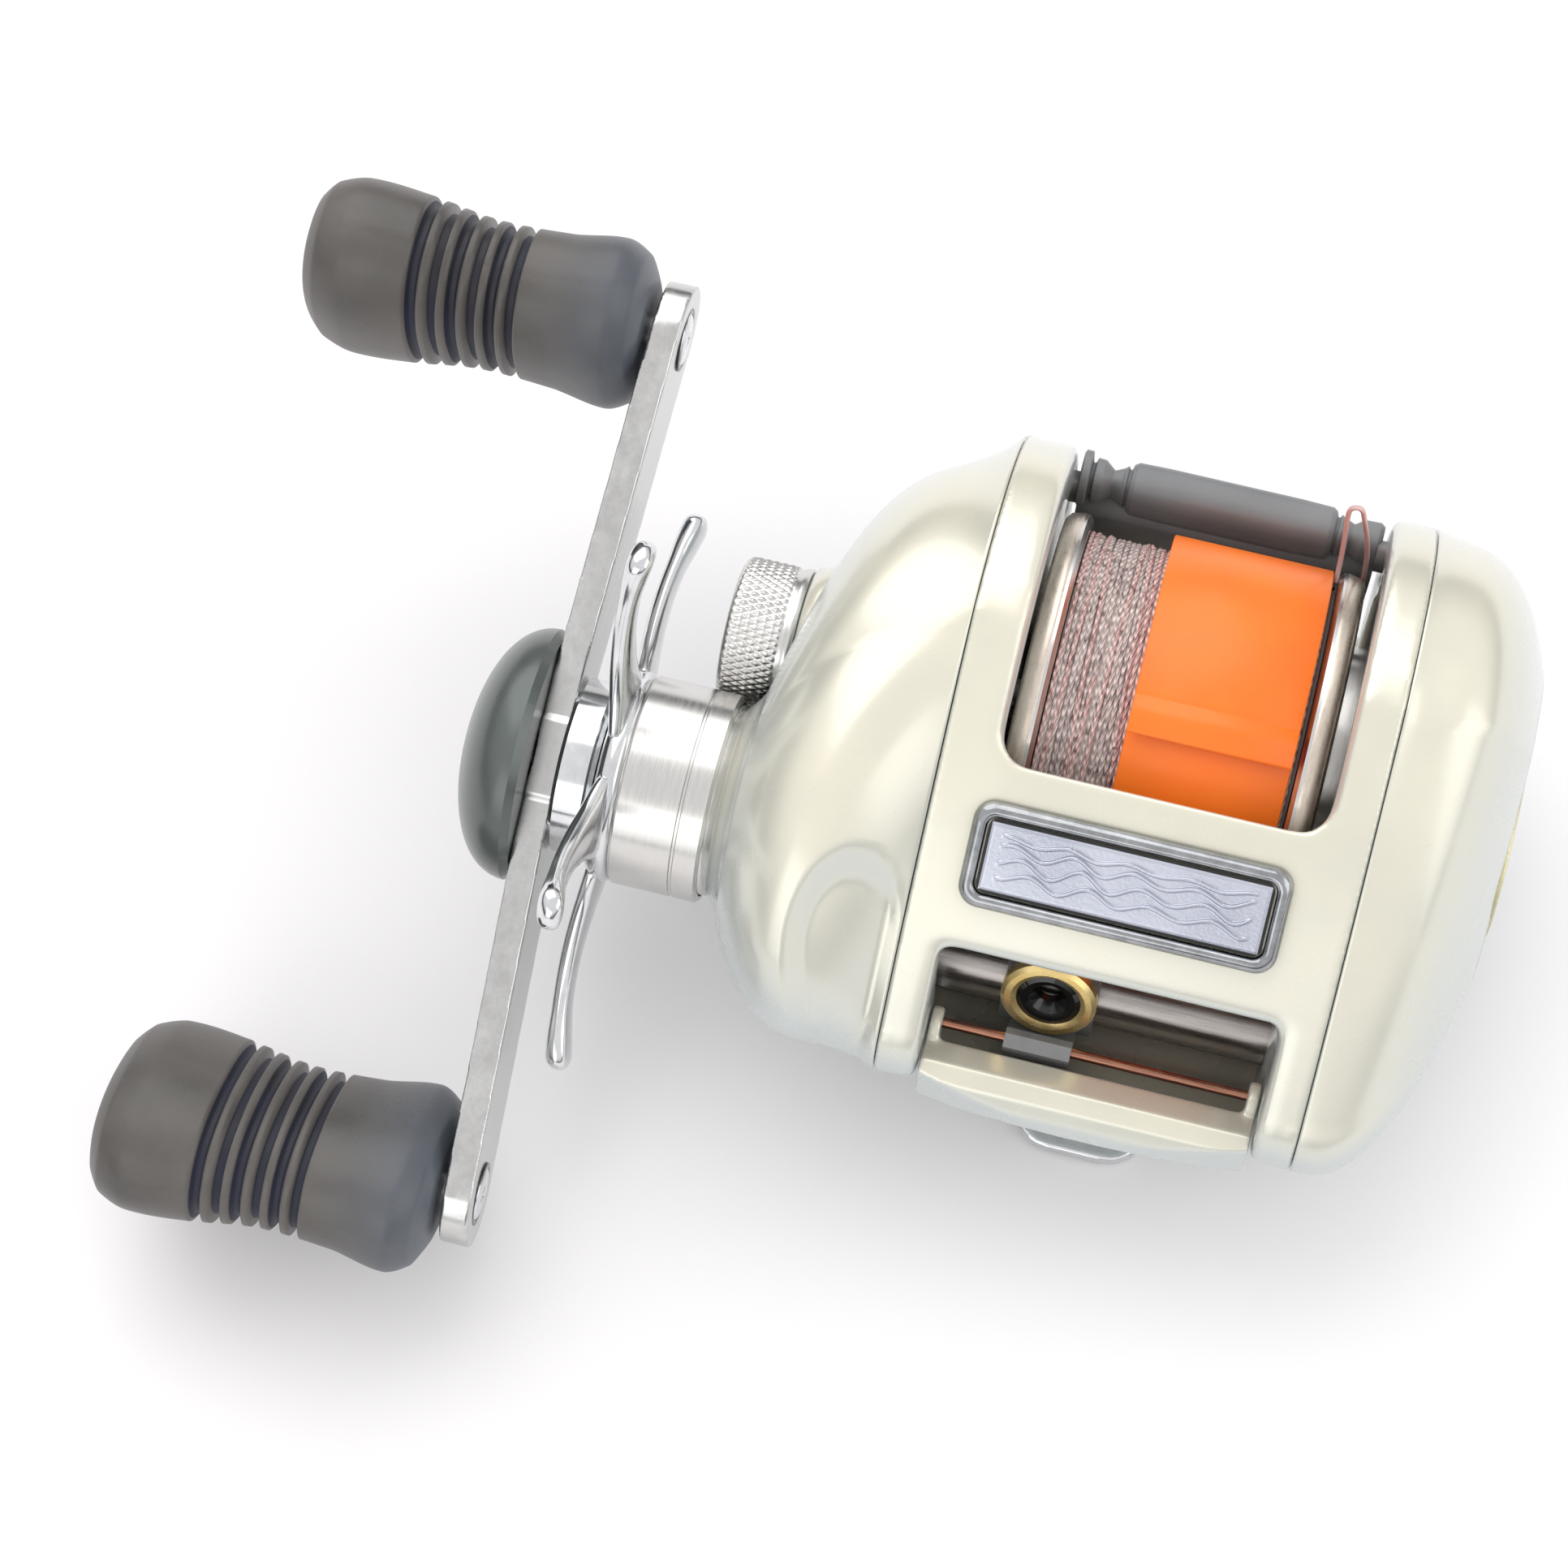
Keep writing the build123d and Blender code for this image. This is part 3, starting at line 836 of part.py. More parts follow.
with BuildPart() as worm_bushes:
    ring(WORM, -19.8, -18.4, 1.5 + RUNNING, TUBE_RADIUS - 0.55)
    ring(WORM, 16.2, 18.2, 1.5 + RUNNING, TUBE_RADIUS - 0.55)
keep(worm_bushes.part, "worm_bushes")

RING_DY, RING_DZ = -27.9, -4.0
TILT = radians(GUIDE_TILT)
RING_PLANE = Plane((GUIDE_X, *near_spool(RING_DY, RING_DZ)), x_dir=(1, 0, 0), z_dir=(0, -cos(TILT), sin(TILT)))
RING_HALF = 0.9
INSERT_RADIUS, EYE_RADIUS = 3.1, 1.25
SADDLE_RADIUS = 4.7
WING_HALF, LUG_HALF = 4.5, 3.2


def about_ring(*profile, mode=Mode.ADD):
    """Turn an outline of (radius, height along the guide's axis) points about that axis."""
    with BuildSketch(Plane(RING_PLANE.origin, x_dir=(1, 0, 0), z_dir=-RING_PLANE.y_dir)) as half:
        with BuildLine():
            Polyline(*profile, close=True)
        make_face()
    revolve(half.sketch, axis=Axis(RING_PLANE.origin, RING_PLANE.z_dir), mode=mode)


with BuildPart() as guide_ring:
    about_ring((INSERT_RADIUS, -2.3), (3.7, -2.3), (3.7, -RING_HALF), (4.2, -RING_HALF), (GUIDE_RING_RADIUS, -0.5),
               (GUIDE_RING_RADIUS, 0.5), (4.2, RING_HALF), (3.6, RING_HALF), (INSERT_RADIUS, 0.6))
keep(guide_ring.part, "guide_ring")

with BuildPart() as guide_insert:
    about_ring((EYE_RADIUS + 0.6, -2.2), (INSERT_RADIUS, -2.2), (INSERT_RADIUS, 0.45), (2.6, 0.7), (1.9, 0.45),
               (EYE_RADIUS, -0.5), (EYE_RADIUS, -1.4))
keep(guide_insert.part, "guide_insert")

with BuildPart() as line_carriage:
    bar(WORM, GUIDE_X - WING_HALF, GUIDE_X + WING_HALF, SADDLE_RADIUS)
    slab(GUIDE_X - LUG_HALF, GUIDE_X + LUG_HALF, (-26.0, -13.6), (-30.4, -11.6), (-33.4, -7.4), (-33.4, -5.3),
         (-32.2, -4.7), (-31.4, -5.2), (-31.0, -8.7), (-28.6, -9.6), (-27.6, -8.6))
    about_ring((0, -RING_HALF), (4.3, -RING_HALF), (4.3, -3.2), (0, -3.2))
    bar(WORM, GUIDE_X - 6, GUIDE_X + 6, TUBE_RADIUS + RUNNING, Mode.SUBTRACT)
    about_ring((0, 2), (3.7, 2), (3.7, -2.35), (2.6, -2.35), (2.6, -9), (0, -9), mode=Mode.SUBTRACT)
    bar(near_spool(ROD_DY, ROD_DZ), GUIDE_X - 6, GUIDE_X + 6, ROD_RADIUS + RUNNING + 0.02, Mode.SUBTRACT)
    # boss under the tube that holds the pawl
    with BuildSketch(Plane.XY.offset(WORM[1] - 5.3)) as pawl_boss:
        with Locations((GUIDE_X, WORM[0])):
            Circle(2.0)
    extrude(pawl_boss.sketch, amount=1.9)
    with BuildSketch(Plane.XY.offset(WORM[1] - 6)) as pawl_bore:
        with Locations((GUIDE_X, WORM[0])):
            Circle(0.9)
    extrude(pawl_bore.sketch, amount=3.2, mode=Mode.SUBTRACT)
keep(line_carriage.part, "line_carriage")

with BuildPart() as wind_pawl:
    with BuildSketch(Plane.XY.offset(WORM[1] - 4.8)) as pawl_stem:
        with Locations((GUIDE_X, WORM[0])):
            Circle(0.8)
    extrude(pawl_stem.sketch, amount=4.8 - WORM_RADIUS - 0.12)
keep(wind_pawl.part, "wind_pawl")

with BuildPart() as pawl_cap:
    with BuildSketch(Plane.XY.offset(WORM[1] - 5.8)) as pawl_cap_head:
        with Locations((GUIDE_X, WORM[0])):
            Circle(1.7)
    extrude(pawl_cap_head.sketch, amount=0.5)
    with BuildSketch(Plane.XY.offset(WORM[1] - 5.3)) as pawl_cap_stem:
        with Locations((GUIDE_X, WORM[0])):
            Circle(0.9)
    extrude(pawl_cap_stem.sketch, amount=0.45)
keep(pawl_cap.part, "pawl_cap")

# ---------------------------------------------------------------- free end of the line
TAIL_DIAMETER = 0.5
TAIL_ROUTE = [(11.70, 14.2, 10.2), (11.72, 16.0, 10.8), (11.55, 17.2, 13.5), (11.3, 17.8, 16.5), (11.25, 18.0, 18.5),
              (12.4, 18.05, 18.9), (12.85, 18.0, 16.9), (13.5, 17.8, 14.2), (14.05, 17.4, 11.2), (14.25, 16.9, 8.0),
              (14.4, 16.6, 4.6), (14.5, 16.7, 1.0), (14.5, 16.2, -2.6)]


def bend_radii(route):
    """Largest arc for each corner: 0.45 of the shorter run over the tangent of half the turn."""
    radii = []
    for before, corner, after in zip(route, route[1:], route[2:]):
        run_in, run_out = Vector(*corner) - Vector(*before), Vector(*after) - Vector(*corner)
        half_turn = radians(run_in.get_angle(run_out)) / 2
        radii.append(0.45 * min(run_in.length, run_out.length) / tan(half_turn))
    return radii


tail_points = [(x, *near_spool(dy, dz)) for x, dy, dz in TAIL_ROUTE]
tail_radii = bend_radii(tail_points)
print("line tail bend radii", [round(radius, 2) for radius in tail_radii])
with BuildPart() as line_tail:
    with BuildLine() as tail_path:
        FilletPolyline(*tail_points, radius=tail_radii)
    with BuildSketch(Plane(tail_path.line @ 0, z_dir=tail_path.line % 0)) as tail_end:
        Circle(TAIL_DIAMETER / 2)
    sweep(tail_end.sketch, path=tail_path.line)
tail_length = tail_path.wires()[0].length
tail_volume = pi * TAIL_DIAMETER ** 2 / 4 * tail_length
print("line tail length", round(tail_length, 2), "volume ratio",
      round(line_tail.part.volume / tail_volume, 4))
keep(line_tail.part, "line_tail")
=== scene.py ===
# %% [markdown]
# # A low-profile baitcasting reel
# The metal parts of the reel arrive as finished solids, each under its own name.  This lesson
# keeps the ones whose shape is right and gives them a finish, and builds new meshes for the
# sculpted, knurled, wound and moulded pieces.  Everything is in metres, in the solids' frame.

import json
from math import atan2, cos, hypot, pi, radians, sin

import bmesh
import bpy
from mathutils import Matrix, Vector


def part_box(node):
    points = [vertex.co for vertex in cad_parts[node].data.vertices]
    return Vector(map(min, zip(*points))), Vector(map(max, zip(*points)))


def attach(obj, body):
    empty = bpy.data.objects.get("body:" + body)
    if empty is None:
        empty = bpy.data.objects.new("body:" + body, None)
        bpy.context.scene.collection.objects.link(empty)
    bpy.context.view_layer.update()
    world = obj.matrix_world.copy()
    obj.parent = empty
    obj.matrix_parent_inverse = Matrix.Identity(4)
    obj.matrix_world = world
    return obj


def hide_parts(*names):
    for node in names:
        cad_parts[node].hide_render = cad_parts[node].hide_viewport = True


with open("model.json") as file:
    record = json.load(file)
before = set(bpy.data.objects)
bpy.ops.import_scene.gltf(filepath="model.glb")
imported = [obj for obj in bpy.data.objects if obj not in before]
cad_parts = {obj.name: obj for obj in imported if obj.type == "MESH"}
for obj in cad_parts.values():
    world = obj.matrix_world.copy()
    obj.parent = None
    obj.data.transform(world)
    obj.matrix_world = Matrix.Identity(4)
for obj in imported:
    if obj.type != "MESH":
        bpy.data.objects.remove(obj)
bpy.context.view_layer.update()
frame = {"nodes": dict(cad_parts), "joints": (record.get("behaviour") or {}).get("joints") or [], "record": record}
MM = 0.001
JOINTS = {joint["name"]: joint for joint in frame["joints"]}


def centre_of(node):
    """Middle of a solid's box, in millimetres."""
    low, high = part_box(node)
    return [(a + b) / 2 / MM for a, b in zip(low, high)]


SPOOL = centre_of("spool")[1:]
DRIVE = centre_of("drag_barrel")[1:]
PINS = {side: [v / MM for v in JOINTS[side + "_knob_spin"]["pos_m"]][1:]
        for side in ("front", "rear")}
print("spool axis", SPOOL, "drive axis", DRIVE, "knob pins", PINS)

# %% [markdown]
# ## Camera
# A reel is shown from above and a little in front, with a long lens so that its round parts are
# not stretched.  The three axes of the view are written down as a rotation matrix, which is the
# most direct way to aim a camera that also leans to one side.

# %% Camera
camera_data = bpy.data.cameras.new("camera")
camera_data.sensor_width = 36.0
camera_data.lens = 97.7
camera = bpy.data.objects.new("camera", camera_data)
bpy.context.collection.objects.link(camera)
view_right, view_up = Vector((0.96887, 0.24743, 0.00801)), Vector((-0.23065, 0.89047, 0.39226))
view_back = view_right.cross(view_up)
turn = Matrix((view_right, view_up, view_back)).transposed().to_4x4()
camera.matrix_world = Matrix.Translation((0.001736, -0.165153, 0.399178)) @ turn
bpy.context.scene.camera = camera
print("camera", tuple(camera.location))

# %% [markdown]
# ## The free end of the line
# Braided line is limp, but a kinked end holds a small loop.  A NURBS curve through a few control
# points gives that soft course with no corners; its bevel gives it thickness.

# %% Line tail
TAIL_ROUTE = [(11.70, 18.7, 36.2), (11.72, 20.5, 36.8), (11.55, 21.7, 39.5), (11.3, 22.3, 42.5),
              (11.25, 22.5, 44.5), (12.4, 22.55, 44.9), (12.85, 22.5, 42.9), (13.5, 22.3, 40.2),
              (14.05, 21.9, 37.2), (14.25, 21.4, 34.0), (14.4, 21.1, 30.6), (14.5, 21.2, 27.0),
              (14.5, 20.7, 23.4)]
TAIL_DIAMETER = 0.5
tail_curve = bpy.data.curves.new("line_end", "CURVE")
tail_curve.dimensions = "3D"
tail_spline = tail_curve.splines.new("NURBS")
tail_spline.points.add(len(TAIL_ROUTE) - 1)
for point, (x, y, z) in zip(tail_spline.points, TAIL_ROUTE):
    point.co = (x * MM, y * MM, z * MM, 1)
    point.radius = TAIL_DIAMETER / 2 * MM
tail_spline.order_u = 3
tail_spline.use_endpoint_u = True
tail_spline.resolution_u = 10
tail_curve.bevel_depth = 1.0
tail_curve.bevel_resolution = 3
tail_curve.use_fill_caps = True
line_end = bpy.data.objects.new("line_end", tail_curve)
bpy.context.collection.objects.link(line_end)
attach(line_end, "frame")
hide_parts("line_tail")
print("line end points", len(TAIL_ROUTE))

# %% [markdown]
# ## Mesh helpers
# Most pieces are either turned on a lathe or drawn through a row of cross sections, so two helpers
# make nearly all of them.  Both take plain lists of points in millimetres.

# %% Mesh helpers
def add_mesh(name, verts, faces, slot=None, smooth=True):
    """A new object from points in millimetres."""
    mesh = bpy.data.meshes.new(name)
    mesh.from_pydata([(x * MM, y * MM, z * MM) for x, y, z in verts], [], faces)
    work = bmesh.new()
    work.from_mesh(mesh)
    bmesh.ops.recalc_face_normals(work, faces=work.faces)
    work.to_mesh(mesh)
    work.free()
    mesh.polygons.foreach_set("use_smooth", [smooth] * len(mesh.polygons))
    piece = bpy.data.objects.new(name, mesh)
    bpy.context.collection.objects.link(piece)
    return piece


def skin(rings, close=False, caps=True):
    """Points and faces of a surface drawn through rings of equal length."""
    count = len(rings[0])
    verts = [point for ring in rings for point in ring]
    faces = []
    for r in range(len(rings) - (0 if close else 1)):
        a, b = r * count, (r + 1) % len(rings) * count
        faces += [(a + i, a + (i + 1) % count, b + (i + 1) % count, b + i) for i in range(count)]
    if caps and not close:
        faces += [tuple(range(count)), tuple(range(len(verts) - count, len(verts)))]
    return verts, faces


def turned(axis, profile, steps=96):
    """A lathe shape: a closed outline of (x, radius) turned about an X line."""
    rings = []
    for s in range(steps):
        c, d = cos(2 * pi * s / steps), sin(2 * pi * s / steps)
        rings.append([(x, axis[0] + r * c, axis[1] + r * d) for x, r in profile])
    return skin(rings, close=True)


def smooth_steps(table, at):
    """Catmull-Rom value of a table of (place, value) pairs."""
    k = max(0, min(len(table) - 2, sum(1 for place, _ in table[1:-1] if place <= at)))
    (p1, v1), (p2, v2) = table[k], table[k + 1]
    v0, v3 = table[max(k - 1, 0)][1], table[min(k + 2, len(table) - 1)][1]
    f = (at - p1) / (p2 - p1)
    return 0.5 * (2 * v1 + (v2 - v0) * f + (2 * v0 - 5 * v1 + 4 * v2 - v3) * f ** 2
                  + (3 * v1 - 3 * v2 + v3 - v0) * f ** 3)


def use_modifier(piece, kind, **settings):
    """Add a modifier and apply it at once."""
    modifier = piece.modifiers.new(kind, kind)
    for key, value in settings.items():
        setattr(modifier, key, value)
    shaped = bpy.data.meshes.new_from_object(piece.evaluated_get(bpy.context.evaluated_depsgraph_get()))
    piece.modifiers.clear()
    piece.data = shaped


PARTING = 18.9


def soft_copy(node, body, voxel, passes, inner_passes=0):
    """A copy of a solid with its edges eased, as casting and tumbling leave them."""
    piece = bpy.data.objects.new(node + "_eased", frame["nodes"][node].data.copy())
    bpy.context.collection.objects.link(piece)
    piece.data.materials.clear()
    use_modifier(piece, "REMESH", mode="VOXEL", voxel_size=voxel * MM)
    use_modifier(piece, "SMOOTH", factor=0.5, iterations=passes)
    if inner_passes:
        away = piece.vertex_groups.new(name="away_from_parting")
        away.add([v.index for v in piece.data.vertices if abs(v.co.x) < PARTING * MM], 1.0, "REPLACE")
        use_modifier(piece, "SMOOTH", factor=0.5, iterations=inner_passes, vertex_group=away.name)
    piece.data.polygons.foreach_set("use_smooth", [True] * len(piece.data.polygons))
    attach(piece, body)
    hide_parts(node)
    print(piece.name, len(piece.data.polygons), "faces")
    return piece


# %% [markdown]
# ## Shared surface effects
# Real finishes are never even: castings have a faint orange peel, handled metal has hairline
# scratches, turned metal has rings.  Each effect is one node group with its own inputs, so every
# material can use it at its own scale and strength.

# %% Node group helpers
def new_group(name, inputs, outputs):
    """An empty shader node group with float or vector sockets."""
    group = bpy.data.node_groups.new(name, "ShaderNodeTree")
    for label, kind, default in inputs:
        socket = group.interface.new_socket(label, in_out="INPUT", socket_type="NodeSocket" + kind)
        socket.default_value = default
    for label, kind in outputs:
        group.interface.new_socket(label, in_out="OUTPUT", socket_type="NodeSocket" + kind)
    return group, group.nodes.new("NodeGroupInput"), group.nodes.new("NodeGroupOutput")


def math_node(group, operation, a, b=0.5):
    """A Math node fed by sockets or numbers."""
    node = group.nodes.new("ShaderNodeMath")
    node.operation = operation
    for socket, value in zip(node.inputs, (a, b)):
        if hasattr(value, "is_linked"):
            group.links.new(value, socket)
        else:
            socket.default_value = value
    return node.outputs[0]


def place_in_metres(group):
    """Object coordinates; all pieces share one origin, so effects run on across seams."""
    return group.nodes.new("ShaderNodeTexCoord").outputs["Object"]


# %% Orange peel, scratches and grain
peel, enter, leave = new_group("orange_peel", [("Scale", "Float", 1500.0), ("Depth", "Float", 0.05)],
                               [("Normal", "Vector"), ("Mottle", "Float")])
noise = peel.nodes.new("ShaderNodeTexNoise")
peel.links.new(place_in_metres(peel), noise.inputs["Vector"])
peel.links.new(enter.outputs["Scale"], noise.inputs["Scale"])
noise.inputs["Detail"].default_value = 3
bump = peel.nodes.new("ShaderNodeBump")
bump.inputs["Distance"].default_value = 0.0001
peel.links.new(enter.outputs["Depth"], bump.inputs["Strength"])
peel.links.new(noise.outputs["Fac"], bump.inputs["Height"])
wide = peel.nodes.new("ShaderNodeTexNoise")
wide.inputs["Scale"].default_value = 90
wide.inputs["Detail"].default_value = 4
peel.links.new(place_in_metres(peel), wide.inputs["Vector"])
peel.links.new(bump.outputs[0], leave.inputs["Normal"])
peel.links.new(wide.outputs["Fac"], leave.inputs["Mottle"])

scratch, enter, leave = new_group("hairlines", [("Scale", "Float", 500.0), ("Along", "Vector", (1, 1, 1)),
                                                ("Depth", "Float", 0.1)],
                                  [("Normal", "Vector"), ("Mask", "Float")])
stretch = scratch.nodes.new("ShaderNodeVectorMath")
stretch.operation = "MULTIPLY"
scratch.links.new(place_in_metres(scratch), stretch.inputs[0])
scratch.links.new(enter.outputs["Along"], stretch.inputs[1])
streak = scratch.nodes.new("ShaderNodeTexNoise")
streak.inputs["Detail"].default_value = 6
streak.inputs["Roughness"].default_value = 0.7
scratch.links.new(stretch.outputs[0], streak.inputs["Vector"])
scratch.links.new(enter.outputs["Scale"], streak.inputs["Scale"])
bump = scratch.nodes.new("ShaderNodeBump")
bump.inputs["Distance"].default_value = 0.0001
scratch.links.new(enter.outputs["Depth"], bump.inputs["Strength"])
scratch.links.new(streak.outputs["Fac"], bump.inputs["Height"])
scratch.links.new(bump.outputs[0], leave.inputs["Normal"])
scratch.links.new(streak.outputs["Fac"], leave.inputs["Mask"])

wear, enter, leave = new_group("edge_wear", [("Amount", "Float", 1.0)], [("Mask", "Float")])
edge = wear.nodes.new("ShaderNodeNewGeometry").outputs["Pointiness"]
broken = wear.nodes.new("ShaderNodeTexNoise")
broken.inputs["Scale"].default_value = 700
wear.links.new(place_in_metres(wear), broken.inputs["Vector"])
sharp = math_node(wear, "MULTIPLY", math_node(wear, "SUBTRACT", edge, 0.51), 14.0)
rubbed = math_node(wear, "MULTIPLY", sharp, broken.outputs["Fac"])
worn = math_node(wear, "MULTIPLY", rubbed, enter.outputs["Amount"])
clamp = wear.nodes.new("ShaderNodeClamp")
wear.links.new(worn, clamp.inputs["Value"])
wear.links.new(clamp.outputs[0], leave.inputs["Mask"])
print("groups", [group.name for group in bpy.data.node_groups])

# %% [markdown]
# ## Materials
# One function lays out the same sensible wiring for every finish: two colours mixed by a mask, a
# roughness that wanders between two values, and a normal from one of the groups.  The numbers make
# each finish its own.

# %% Material builder
FINISH = {}


def finish(name, light, dark, rough, metallic=0.0, effect="orange_peel", scale=1500.0, depth=0.05,
           along=(1, 1, 1), wear_colour=None, **plain):
    """A Principled material whose colour, roughness and normal come from the shared effects."""
    material = bpy.data.materials.new(name)
    material.use_nodes = True
    tree = material.node_tree
    shader = tree.nodes["Principled BSDF"]
    group = tree.nodes.new("ShaderNodeGroup")
    group.node_tree = bpy.data.node_groups[effect]
    group.inputs["Scale"].default_value = scale
    group.inputs["Depth"].default_value = depth
    if effect == "hairlines":
        group.inputs["Along"].default_value = along
    mask = group.outputs["Mask" if effect == "hairlines" else "Mottle"]
    spread = tree.nodes.new("ShaderNodeMapRange")
    spread.inputs["From Min"].default_value = 0.35
    spread.inputs["From Max"].default_value = 0.65
    tree.links.new(mask, spread.inputs["Value"])
    mix = tree.nodes.new("ShaderNodeMix")
    mix.data_type = "RGBA"
    mix.inputs["A"].default_value = (*dark, 1)
    mix.inputs["B"].default_value = (*light, 1)
    tree.links.new(spread.outputs[0], mix.inputs["Factor"])
    colour = mix.outputs["Result"]
    if wear_colour:
        edges = tree.nodes.new("ShaderNodeGroup")
        edges.node_tree = bpy.data.node_groups["edge_wear"]
        rub = tree.nodes.new("ShaderNodeMix")
        rub.data_type = "RGBA"
        rub.inputs["B"].default_value = (*wear_colour, 1)
        tree.links.new(edges.outputs["Mask"], rub.inputs["Factor"])
        tree.links.new(colour, rub.inputs["A"])
        colour = rub.outputs["Result"]
    tree.links.new(colour, shader.inputs["Base Color"])
    wander = tree.nodes.new("ShaderNodeMapRange")
    wander.inputs["From Min"].default_value = 0.3
    wander.inputs["From Max"].default_value = 0.7
    wander.inputs["To Min"].default_value, wander.inputs["To Max"].default_value = rough
    tree.links.new(mask, wander.inputs["Value"])
    tree.links.new(wander.outputs[0], shader.inputs["Roughness"])
    tree.links.new(group.outputs["Normal"], shader.inputs["Normal"])
    shader.inputs["Metallic"].default_value = metallic
    for key, value in plain.items():
        shader.inputs[key.replace("_", " ")].default_value = value
    FINISH[name] = material
    return material


# %% Metals
finish("chrome", (0.74, 0.75, 0.76), (0.62, 0.63, 0.64), (0.07, 0.16), 1.0, "hairlines", 300, 0.02)
finish("satin_aluminium", (0.66, 0.65, 0.63), (0.60, 0.59, 0.57), (0.18, 0.28), 1.0, "hairlines", 900, 0.04,
       (6, 0.4, 0.4))
finish("brushed_arm", (0.60, 0.60, 0.59), (0.50, 0.50, 0.49), (0.16, 0.28), 1.0, "hairlines", 500, 0.035,
       (1, 0.15, 2.0))
finish("steel", (0.58, 0.57, 0.55), (0.38, 0.37, 0.36), (0.25, 0.42), 1.0, "hairlines", 700, 0.12, (5, 1, 1))
finish("bearing_steel", (0.64, 0.64, 0.65), (0.52, 0.52, 0.53), (0.12, 0.22), 1.0, "hairlines", 500, 0.04)
finish("brass", (0.72, 0.55, 0.27), (0.55, 0.40, 0.18), (0.22, 0.38), 1.0, "hairlines", 600, 0.08)
finish("badge_chrome", (0.40, 0.41, 0.42), (0.26, 0.27, 0.28), (0.10, 0.2), 1.0, "hairlines", 400, 0.03)
finish("champagne", (0.74, 0.66, 0.56), (0.62, 0.54, 0.46), (0.24, 0.38), 1.0, "hairlines", 700, 0.10,
       (5, 1, 1))
finish("tube_steel", (0.46, 0.43, 0.41), (0.26, 0.24, 0.225), (0.22, 0.36), 1.0, "hairlines", 700, 0.06,
       (0.12, 2.5, 2.5))
finish("gold_plate", (1.0, 0.80, 0.40), (0.96, 0.70, 0.28), (0.20, 0.32), 0.85, "hairlines", 400, 0.03)
finish("bronze", (0.45, 0.22, 0.14), (0.26, 0.12, 0.09), (0.20, 0.36), 1.0, "hairlines", 800, 0.08,
       (0.3, 4, 4))

# %% Paints, plastics and the rest
pearl = finish("pearl_paint", (0.73, 0.70, 0.57), (0.68, 0.66, 0.55), (0.22, 0.32), 0.35,
               "orange_peel", 900, 0.012, Coat_Weight=0.6, Coat_Roughness=0.12)
tree = pearl.node_tree
shader = tree.nodes["Principled BSDF"]
# Faces that turn from straight up towards the side are mixed into a darker blue-grey: painted shade on the sides
# of the body.
facing = tree.nodes.new("ShaderNodeSeparateXYZ")
tree.links.new(tree.nodes.new("ShaderNodeTexCoord").outputs["Normal"], facing.inputs[0])
side_shade_amount = tree.nodes.new("ShaderNodeMapRange")
side_shade_amount.inputs["From Min"].default_value = 0.88
side_shade_amount.inputs["From Max"].default_value = 0.15
tree.links.new(facing.outputs["Z"], side_shade_amount.inputs["Value"])
painted_side_shade = tree.nodes.new("ShaderNodeMix")
painted_side_shade.data_type = "RGBA"
painted_side_shade.inputs["B"].default_value = (0.52, 0.56, 0.55, 1)
tree.links.new(side_shade_amount.outputs[0], painted_side_shade.inputs["Factor"])
tree.links.new(shader.inputs["Base Color"].links[0].from_socket, painted_side_shade.inputs["A"])
tree.links.new(painted_side_shade.outputs["Result"], shader.inputs["Base Color"])
finish("badge_panel", (0.56, 0.58, 0.65), (0.46, 0.48, 0.55), (0.24, 0.34), 0.8, "orange_peel", 3000, 0.2)
finish("inlay_gold", (0.72, 0.66, 0.38), (0.50, 0.46, 0.28), (0.15, 0.30), 0.6, "orange_peel", 6000, 0.5)
finish("dark_plastic", (0.205, 0.21, 0.215), (0.165, 0.172, 0.176), (0.34, 0.5), 0.0, "orange_peel", 3500,
       0.25, wear_colour=(0.22, 0.22, 0.22))
finish("cap_plastic", (0.11, 0.128, 0.12), (0.085, 0.10, 0.095), (0.26, 0.38), 0.3, "orange_peel", 2500, 0.08,
       Coat_Weight=0.3, Coat_Roughness=0.25)
finish("black_ceramic", (0.012, 0.012, 0.012), (0.006, 0.006, 0.006), (0.06, 0.14), 0.0, "orange_peel", 900,
       0.02)
finish("orange_plastic", (1.0, 0.20, 0.003), (0.96, 0.17, 0.002), (0.38, 0.48), 0.0, "orange_peel", 900,
       0.05, Subsurface_Weight=0.25, Subsurface_Radius=(0.002, 0.0008, 0.0001), Coat_Weight=0.15,
       Coat_Roughness=0.2)
finish("drag_fibre", (0.05, 0.045, 0.04), (0.02, 0.02, 0.02), (0.6, 0.8), 0.0, "hairlines", 1500, 0.4,
       (1, 3, 0.3))
finish("brake_plastic", (0.42, 0.05, 0.04), (0.32, 0.03, 0.03), (0.4, 0.55), 0.0, "orange_peel", 2000, 0.1)
print("finishes", sorted(FINISH))

# %% [markdown]
# ## Worn rubber, braid
# The knobs are old rubber that has gone brown where it is held and blue-grey where it is not, so
# their colour follows the length of the knob.  Line is woven from many fine fibres: its pattern
# follows the strand, so it is drawn in the strand's own UV map.

# %% Knob rubber
rubber = finish("knob_rubber", (0.108, 0.099, 0.090), (0.066, 0.061, 0.056), (0.34, 0.5), 0.0,
                "orange_peel", 2200, 0.25)
tree = rubber.node_tree
shader = tree.nodes["Principled BSDF"]
split = tree.nodes.new("ShaderNodeSeparateXYZ")
tree.links.new(tree.nodes.new("ShaderNodeTexCoord").outputs["Object"], split.inputs[0])
patch = tree.nodes.new("ShaderNodeTexNoise")
patch.inputs["Scale"].default_value = 110
shifted = tree.nodes.new("ShaderNodeMath")
shifted.operation = "MULTIPLY_ADD"
shifted.inputs[1].default_value = 0.018
tree.links.new(patch.outputs["Fac"], shifted.inputs[0])
tree.links.new(split.outputs["X"], shifted.inputs[2])
inner = tree.nodes.new("ShaderNodeMapRange")
